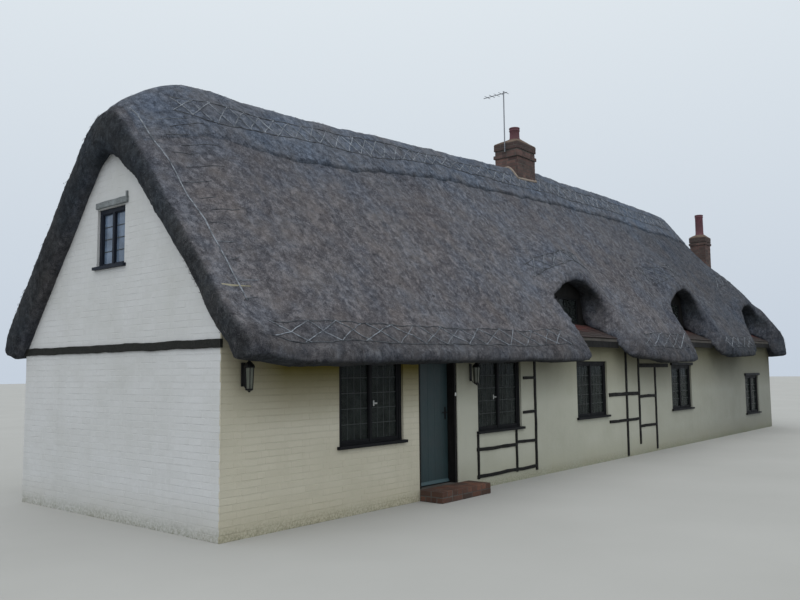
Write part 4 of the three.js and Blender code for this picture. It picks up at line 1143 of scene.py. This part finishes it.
def flue_pot(number, stack, r, bottom, top):
    """A tapering tube with a rolled rim and a bead"""
    h = top - bottom
    tube = [(-0.030, 0.0), (0.0, 0.0), (0.002, 0.02), (-0.006, 0.05), (-0.012, 0.08)]
    rim = [(-0.016, -0.085), (-0.006, -0.078), (-0.003, -0.066), (-0.006, -0.054), (-0.014, -0.046),
           (-0.014, -0.034), (-0.004, -0.026), (-0.001, -0.014), (-0.005, -0.003), (-0.014, 0.0),
           (-0.028, -0.002), (-0.034, -0.012)]
    profile = tube + [(out, h + z) for out, z in rim]
    shape = Shape()
    turned(shape, stack[:2], [(r + out, bottom + 0.0005 + z) for out, z in profile], tint=0.5)
    shape.make(f"chimney_{number}_flue_pot", POT, "clay_pot", f"chimney_{number}_pot", smooth=True)


def chimney(number, stack, low, band_at, cap_at, pot):
    """pot is its radius, foot and rim"""
    stack_bricks(number, stack, low, band_at, cap_at)
    fillet(number, stack, cap_at, *pot[:2])
    flue_pot(number, stack, *pot)
    put_material(MORTAR, f"chimney_{number}_stack")


def stack_flashing():
    """A roll of mortar where the first stack comes out of the ridge cap"""
    x, y, length, width = STACK_1
    sx, sy = length / 2 + 0.012, width / 2 + 0.012
    corners = [(x - sx, y - sy), (x + sx, y - sy), (x + sx, y + sy), (x - sx, y + sy), (x - sx, y - sy)]
    steps = 12
    path = []
    for (x0, y0), (x1, y1) in zip(corners, corners[1:]):
        for k in range(steps):
            at_x, at_y = x0 + (x1 - x0) * k / steps, y0 + (y1 - y0) * k / steps
            path.append((at_x, at_y, float(roof_height(at_x, at_y)) + 0.085))
    shape = Shape()
    rod(shape, path + path[:1], 0.026, 8, 0.0, random.Random(41))
    shape.make("chimney_1_flashing", FLASHING, "red_brick", smooth=True)


chimney(1, STACK_1, low=5.9, band_at=6.36, cap_at=6.68, pot=(0.122, 6.80, 7.10))
chimney(2, STACK_2, low=3.4, band_at=5.56, cap_at=5.80, pot=(0.130, 5.88, 6.54))
stack_flashing()
put_material(ALUMINIUM, "aerial")


# Windows

BAR_ROUNDING = 0.0015
# Depths along Y of a casement and of its lead, and half the width of the lead
SASH_DEPTHS = (0.008, 0.032)
LEAD_UPRIGHT, LEAD_LEVEL = (0.0285, 0.0338), (0.0275, 0.0332)
LEAD_HALF = 0.0045


def sash(shape, outer, inner, depths, round_by, overlap):
    """Two stiles and two rails. outer and inner are (left, right, bottom, top), and depths are along Y."""
    left, right, low, high = outer
    light_left, light_right, light_low, light_high = inner
    rail = (light_left - overlap, light_right + overlap)
    near, far = depths
    for x0, x1, z0, z1 in ((left, light_left, low, high), (light_right, right, low, high),
                           (*rail, low, light_low), (*rail, light_high, high)):
        rounded_block(shape, (x0, near, z0), (x1, far, z1), round_by)


def glazing_bars(shape, light, columns, rows, half, upright, level, overlap, level_span=None):
    """Bars that divide a light. upright and level are their depths, and overlap is how far they reach on."""
    left, right, low, high = light
    near, far = upright
    for k in range(1, columns):
        x = left + (right - left) * k / columns
        corners = (x - half, near, low - overlap), (x + half, far, high + overlap)
        rounded_block(shape, *corners, BAR_ROUNDING)
    first, last = level_span or (low, high)
    near, far = level
    for k in range(1, rows):
        z = first + (last - first) * k / rows
        corners = (left - overlap, near, z - half), (right + overlap, far, z + half)
        rounded_block(shape, *corners, BAR_ROUNDING)


def window_parts(name, place, width, height, columns, rows, paint, catch=None, head_board=False,
                 stiles=(0.030, 0.012)):
    """Two casements with leaded lights, made facing -Y and put in place by a matrix"""
    rng = random.Random(name)
    rim, half_mullion = 0.0555, 0.024
    low, high = rim, height - rim
    outer, inner = stiles
    frames, lead, knob = Shape(), Shape(), Shape()
    for side in (-1, 1):
        a, b = (half_mullion, width / 2 - rim) if side > 0 else (rim - width / 2, -half_mullion)
        left, right = (a + inner, b - outer) if side > 0 else (a + outer, b - inner)
        light = (left, right, low + outer + 0.008, high - outer)
        sash(frames, (a, b, low, high), light, SASH_DEPTHS, round_by=0.003, overlap=0.003)
        glazing_bars(lead, light, columns, rows, LEAD_HALF, LEAD_UPRIGHT, LEAD_LEVEL, overlap=0.002)
    if head_board:
        end = width / 2 + 0.05
        rounded_block(frames, (-end, -0.075, height - 0.006), (end, -0.0354, height + 0.058), 0.008, rng=rng,
                      wobble=0.004)
    if catch:
        x, z = catch
        rounded_block(knob, (x - 0.010, -0.002, z - 0.035), (x + 0.010, 0.009, z + 0.035), 0.004)
        rounded_block(knob, (x - 0.010, -0.022, z - 0.011), (x + 0.048, -0.006, z + 0.009), 0.006)
    for shape, title, material in ((frames, "sashes", paint), (lead, "lead", LEAD), (knob, "catch", STEEL)):
        if shape.points:
            shape.points = [tuple(place @ Vector(p)) for p in shape.points]
            shape.make(f"{name}_{title}", material, "window_paint")
    put_material(paint, f"{name}_frame")


CATCHES = {"front_window_1": (0.060, 0.535), "front_window_2": (-0.135, 0.533)}
HEAD_BOARDS = ("front_window_4", "front_window_5")
GLASS_SET_BACK = 0.035


def windows():
    for title, openings, y, turn in (("front_window", FRONT_WINDOWS, FRONT + GLASS_SET_BACK, 0.0),
                                     ("back_window", BACK_WINDOWS, BACK - GLASS_SET_BACK, math.pi)):
        for k, (start, wide, sill, head) in enumerate(openings):
            name = f"{title}_{k + 1}"
            place = Matrix.Translation((GABLE + start + wide / 2, y, sill)) @ Matrix.Rotation(turn, 4, "Z")
            window_parts(name, place, wide, head - sill, 4, 5, WINDOW_PAINT, CATCHES.get(name),
                         name in HEAD_BOARDS)
            put_material(GLASS, f"{name}_glass")
    y, wide, sill, head = GABLE_WINDOW
    place = Matrix.Translation((GABLE + GLASS_SET_BACK, y, sill)) @ Matrix.Rotation(-math.pi / 2, 4, "Z")
    window_parts("gable_window", place, wide, head - sill, 1, 4, GABLE_PAINT, stiles=(0.012, 0.006))
    put_material(GABLE_GLASS_PAINTED_SKY, "gable_window_glass")


windows()


# Timber

def plank(shape, start, end, width, depth, place, rng, wobble=0.009, steps=None):
    """A hand-cut strip from start to end on a face: its edges wander and its front is a little rounded"""
    (u0, v0), (u1, v1) = start, end
    length = math.hypot(u1 - u0, v1 - v0)
    du, dv = (u1 - u0) / length, (v1 - v0) / length
    steps = steps or max(4, int(length / 0.09))
    seed = rng.uniform(0, 100)
    rings = []
    for k in range(steps + 1):
        s = k / steps * length
        bend = wobble * noise.noise(Vector((seed + s * 2.1, 0, 0)))
        left = width / 2 + wobble * 0.8 * noise.noise(Vector((seed + s * 6, 4, 0)))
        right = width / 2 + wobble * 0.8 * noise.noise(Vector((seed + s * 6, 9, 0)))
        front = depth + 0.003 * noise.noise(Vector((seed + s * 4, 14, 0)))
        section = [(right, -0.004), (right, front - 0.006), (right - 0.008, front), (-left + 0.008, front),
                   (-left, front - 0.006), (-left, -0.004)]
        rings.append([place(u0 + du * s - dv * (off + bend), v0 + dv * s + du * (off + bend), w)
                      for off, w in section])
    shape.loft(rings)


# Timbers of the front wall: start and end as (distance from the gable, height), then the width
LEFT_BARS = [
    ((4.71, 0.14), (4.71, 0.80), 0.045), ((5.79, 0.14), (5.79, 0.80), 0.05),
    ((6.40, 0.11), (6.40, 2.12), 0.06),
    ((4.675, 0.175), (6.40, 0.175), 0.05), ((4.675, 0.57), (5.79, 0.57), 0.05),
    ((5.79, 0.60), (6.40, 0.60), 0.045), ((6.005, 1.067), (6.40, 1.067), 0.045),
    ((6.03, 1.62), (6.40, 1.62), 0.045)]
RIGHT_BARS = [
    ((10.0, 0.02), (10.0, 2.12), 0.075), ((10.61, 0.21), (10.61, 2.12), 0.07),
    ((11.47, 0.05), (11.47, 1.85), 0.07),
    ((9.19, 1.25), (10.61, 1.25), 0.07), ((9.19, 0.73), (10.61, 0.73), 0.055),
    ((10.61, 1.82), (12.20, 1.82), 0.08), ((10.61, 1.18), (11.47, 1.18), 0.06),
    ((10.61, 0.57), (11.47, 0.57), 0.055)]


def wall_timbers():
    rng = random.Random(9)
    for side, bars in (("left", LEFT_BARS), ("right", RIGHT_BARS)):
        shape = Shape()
        for (d0, z0), (d1, z1), width in bars:
            plank(shape, (GABLE + d0, z0), (GABLE + d1, z1), width, 0.02, front_place, rng)
        shape.make(f"{side}_timbers", BLACK_TIMBER, "black_timber", f"timber_frame_{side}")
    beam = Shape()
    low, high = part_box("gable_beam")
    plank(beam, (-high.y, 2.062), (-low.y, 2.062), 0.095, 0.03, gable_place, rng, 0.012, 60)
    beam.make("gable_tie_beam", BLACK_BEAM, "black_timber", "gable_beam")
    board = Shape()
    plank(board, (-0.365, 3.882), (0.36, 3.885), 0.080, 0.03, gable_place, rng, 0.008, 16)
    plank(board, (0.335, 3.90), (0.335, 3.985), 0.035, 0.022, gable_place, rng, 0.004, 4)
    board.make("gable_lintel", GREY_TIMBER, "grey_timber", "gable_lintel_board")


wall_timbers()


# Dormers

def dormer_sashes(number):
    """Two casements in front of the sheet of glass, each with three columns and three rows of panes"""
    low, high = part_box(f"dormer_{number}_glass")
    middle = (low.x + high.x) / 2
    near, far = low.y - 0.022, low.y - 0.001
    stile, overlap = 0.035, 0.005
    shape = Shape()
    for a, b in ((low.x - 0.004, middle - 0.024), (middle + 0.024, high.x + 0.004)):
        light = (a + stile, b - stile, low.z + 0.045, high.z - stile)
        sash(shape, (a, b, low.z, high.z), light, (near, far), 0.004, overlap)
        glazing_bars(shape, light, 3, 3, 0.005, (near + 0.012, far), (near + 0.011, far - 0.001), overlap,
                     (low.z, high.z))
    shape.make(f"dormer_{number}_sashes", WINDOW_PAINT, "black_timber")


BLOCK_FACES = [(0, 3, 2, 1), (4, 5, 6, 7), (0, 1, 5, 4), (1, 2, 6, 5), (2, 3, 7, 6), (3, 0, 4, 7)]
TILE_WIDTH, TILE_LENGTH, TILE_GAUGE, TILE_THICK = 0.166, 0.16, 0.098, 0.012
APRON_RISE = 0.283


def dormer_tiles(number, rng):
    """Plain tiles in courses on the sloping apron, grey in the lower courses"""
    low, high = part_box(f"dormer_{number}_tile_apron")
    shape = Shape()
    run = high.y - low.y
    slope = math.atan2(APRON_RISE, run)
    length = run / math.cos(slope)
    ahead = Vector((0, math.cos(slope), math.sin(slope)))
    out = Vector((0, -math.sin(slope), math.cos(slope)))
    base = Vector((0, low.y, high.z - APRON_RISE))
    rows = int(length / TILE_GAUGE) + 1
    for row in range(rows):
        x = low.x + 0.004 - TILE_WIDTH / 2 * (row % 2)
        while x < high.x - 0.01:
            a, b = max(x + 0.001, low.x + 0.002), min(x + TILE_WIDTH - 0.002, high.x - 0.002)
            x += TILE_WIDTH
            if b - a <= 0.03:
                continue
            lift = rng.uniform(0.0, 0.004)
            foot = row * TILE_GAUGE - 0.012 + rng.uniform(-0.003, 0.003)
            head = min(foot + TILE_LENGTH, length)
            under = [base + ahead * s + out * w + Vector((u, 0, 0))
                     for u, s, w in ((a, foot, 0.014 + lift), (b, foot, 0.014 + lift), (b, head, 0.003),
                                     (a, head, 0.003))]
            redness = min(1, max(0, 2.5 * row / rows - 0.6))
            over = [p + out * TILE_THICK for p in under]
            shape.add(under + over, BLOCK_FACES, rng.uniform(0.3, 1) * redness)
    shape.make(f"dormer_{number}_tiles", TILE, "clay_tile")


tile_rng = random.Random(13)
for number in (1, 2, 3):
    put_material(BLACK_TIMBER, f"dormer_{number}_frame")
    put_material(GLASS, f"dormer_{number}_glass")
    put_material(MORTAR, f"dormer_{number}_tile_apron")
    dormer_sashes(number)
    dormer_tiles(number, tile_rng)


# Door and step

DOOR_LEFT, DOOR_RIGHT = GABLE + 3.368, GABLE + 4.142
BOARDS_LOW, BOARDS_HIGH = 0.162, 1.970
DOOR_FACE = FRONT + 0.14


def door_boards(count=5):
    shape = Shape()
    first, whole = DOOR_LEFT + 0.002, DOOR_RIGHT - DOOR_LEFT - 0.004
    near, far = DOOR_FACE - 0.0046, DOOR_FACE + 0.003
    for k in range(count):
        a, b = first + whole * k / count, first + whole * (k + 1) / count
        rounded_block(shape, (a + 0.0008, near, BOARDS_LOW), (b - 0.0008, far, BOARDS_HIGH), 0.004)
    shape.make("door_boards", DOOR_PAINT, "door_paint", body="door")


def door_weatherboard():
    profile = [(0.002, 0.166), (-0.030, 0.166), (-0.032, 0.174), (-0.010, 0.206), (-0.004, 0.212),
               (0.002, 0.212)]
    shape = Shape()
    ends = (DOOR_LEFT + 0.012, DOOR_RIGHT - 0.012)
    shape.loft([[(x, DOOR_FACE + y, z) for y, z in profile] for x in ends])
    shape.make("door_weatherboard", WEATHERBOARD, "door_paint", body="door")


def bell_push():
    shape = Shape()
    left, right = GABLE + 4.160, GABLE + 4.190
    rounded_block(shape, (left, FRONT + 0.003, 1.385), (right, FRONT + 0.0146, 1.435), 0.004)
    shape.make("bell_push", PLASTIC, "black_iron")


def step_bricks():
    """Two courses: five bricks by four below, ten by two above; the outermost stand a little proud"""
    rng = random.Random(17)
    shape = Shape()
    x0, x1 = GABLE + 3.311, GABLE + 4.45
    y0, y1 = FRONT - 0.38, FRONT - 0.004
    for bottom, height, count, rows in ((0.002, 0.068, 5, 4), (COURSE + 0.002, 0.075, 10, 2)):
        wide, deep = (x1 - x0) / count, (y1 - y0) / rows
        for i in range(count):
            for j in range(rows):
                a, c = x0 + wide * i, y0 + deep * j
                low = (a + (-0.004 if i == 0 else 0.004), c + (-0.004 if j == 0 else 0.004), bottom)
                high = (a + wide + (0.004 if i == count - 1 else -0.004), c + deep - 0.004, bottom + height)
                rounded_block(shape, low, high, 0.006, rng.uniform(0, 1), 0.002, rng)
    shape.make("step_bricks", STEP_BRICK, "red_brick")


put_material(BLACK_TIMBER, "door_frame")
put_material(DOOR_PAINT, "door_leaf")
put_material(IRON, "door_handle")
put_material(MORTAR, "door_step")
door_boards()
door_weatherboard()
bell_push()
step_bricks()


# Lanterns

def lantern(name, distance, bottom, top):
    """An iron cage between a foot and a hat, on an arm, with a six-sided glass in it"""
    x, y = GABLE + distance, FRONT - 0.11
    low, high = bottom + 0.03, top - 0.092
    iron, glass = Shape(), Shape()
    corners = circle(6)
    for c, s in corners:
        rod(iron, [(x + 0.040 * c, y + 0.040 * s, low), (x + 0.052 * c, y + 0.052 * s, high)], 0.0045, 5)
    foot = [(0.0, 0.0), (0.010, 0.004), (0.018, 0.016), (0.042, 0.026), (0.044, 0.038), (0.038, 0.042),
            (0.0, 0.042)]
    hat = [(0.0, -0.004), (0.058, -0.006), (0.063, 0.002), (0.052, 0.026), (0.030, 0.052), (0.018, 0.060),
           (0.012, 0.072), (0.006, 0.086), (0.0, 0.090)]
    for profile, base in ((foot, bottom), (hat, high)):
        turned(iron, (x, y), [(max(r, 0.0005), base + z) for r, z in profile], 12)
    near, far = FRONT - 0.012, FRONT - 0.0006
    rounded_block(iron, (x - 0.028, near, bottom + 0.062), (x + 0.028, far, top - 0.042), 0.004)
    steps = 12
    rod(iron, [(x, FRONT - 0.01 - 0.09 * k / steps, bottom + 0.10 - 0.055 * math.sin(math.pi * k / steps))
               for k in range(steps + 1)], 0.006, 6)
    iron.make(f"{name}_frame", IRON, "black_iron", name)
    ends = ((0.037, low + 0.008), (0.049, high - 0.004))
    glass.loft([[(x + r * c, y + r * s, z) for c, s in corners] for r, z in ends])
    glass.make(f"{name}_panes", LANTERN_GLASS, "window_glass")


lantern("lantern_left", 0.29, 1.54, 1.90)
lantern("lantern_right", 4.545, 1.53, 1.89)


# Studio

def studio_floor(half=150):
    mesh = bpy.data.meshes.new("floor")
    corners = [(-half, -half, 0), (half, -half, 0), (half, half, 0), (-half, half, 0)]
    mesh.from_pydata(corners, [], [(0, 1, 2, 3)])
    t = Tree("floor_paint", roughness=0.9, specular=0.2)
    cloud = t.noise(t.place, scale=0.4, detail=3)
    mesh.materials.append(t.finish(t.ramp(cloud, (0.3, (0.39, 0.385, 0.37)), (0.7, (0.42, 0.415, 0.40)))))
    floor = bpy.data.objects.new("floor", mesh)
    scene.collection.objects.link(floor)


def studio_light():
    """A pale sky and two broad, soft suns"""
    world = bpy.data.worlds.new("studio")
    scene.world = world
    world.use_nodes = True
    nodes, links = world.node_tree.nodes, world.node_tree.links
    direction = nodes.new("ShaderNodeSeparateXYZ")
    links.new(nodes.new("ShaderNodeTexCoord").outputs["Generated"], direction.inputs[0])
    sky = nodes.new("ShaderNodeValToRGB")
    sky.color_ramp.elements[0].color = (0.56, 0.63, 0.72, 1)
    sky.color_ramp.elements[1].color = (0.95, 1.0, 1.0, 1)
    links.new(direction.outputs["Z"], sky.inputs["Fac"])
    links.new(sky.outputs["Color"], nodes["Background"].inputs["Color"])
    nodes["Background"].inputs["Strength"].default_value = 1.0
    for name, energy, angle, turn in (("key", 0.75, 1.2, (48, 0, -62)), ("top", 0.35, 1.6, (12, 0, 20))):
        light = bpy.data.lights.new(name, "SUN")
        light.energy = energy
        light.angle = angle
        light.color = (1.0, 0.985, 0.96)
        lamp = bpy.data.objects.new(name, light)
        lamp.rotation_euler = [math.radians(a) for a in turn]
        scene.collection.objects.link(lamp)
    scene.view_settings.view_transform = "Standard"
    scene.view_settings.look = "None"


def camera():
    """The camera that was fitted to the photograph, with a focal length of 783.7 of its 800 pixels"""
    eye = Vector((-15.375, -8.955, 1.75))
    yaw, pitch, roll = 40.0, 5.19, -0.57
    place = Matrix.Translation(eye)
    for degrees, axis in ((yaw - 90, "Z"), (90 + pitch, "X"), (roll, "Z")):
        place = place @ Matrix.Rotation(math.radians(degrees), 4, axis)
    data = bpy.data.cameras.new("camera")
    data.sensor_width = 36
    data.lens = 783.7 / 800 * data.sensor_width
    data.clip_end = 400
    made = bpy.data.objects.new("camera", data)
    scene.collection.objects.link(made)
    made.matrix_world = place
    scene.camera = made


studio_floor()
studio_light()
camera()
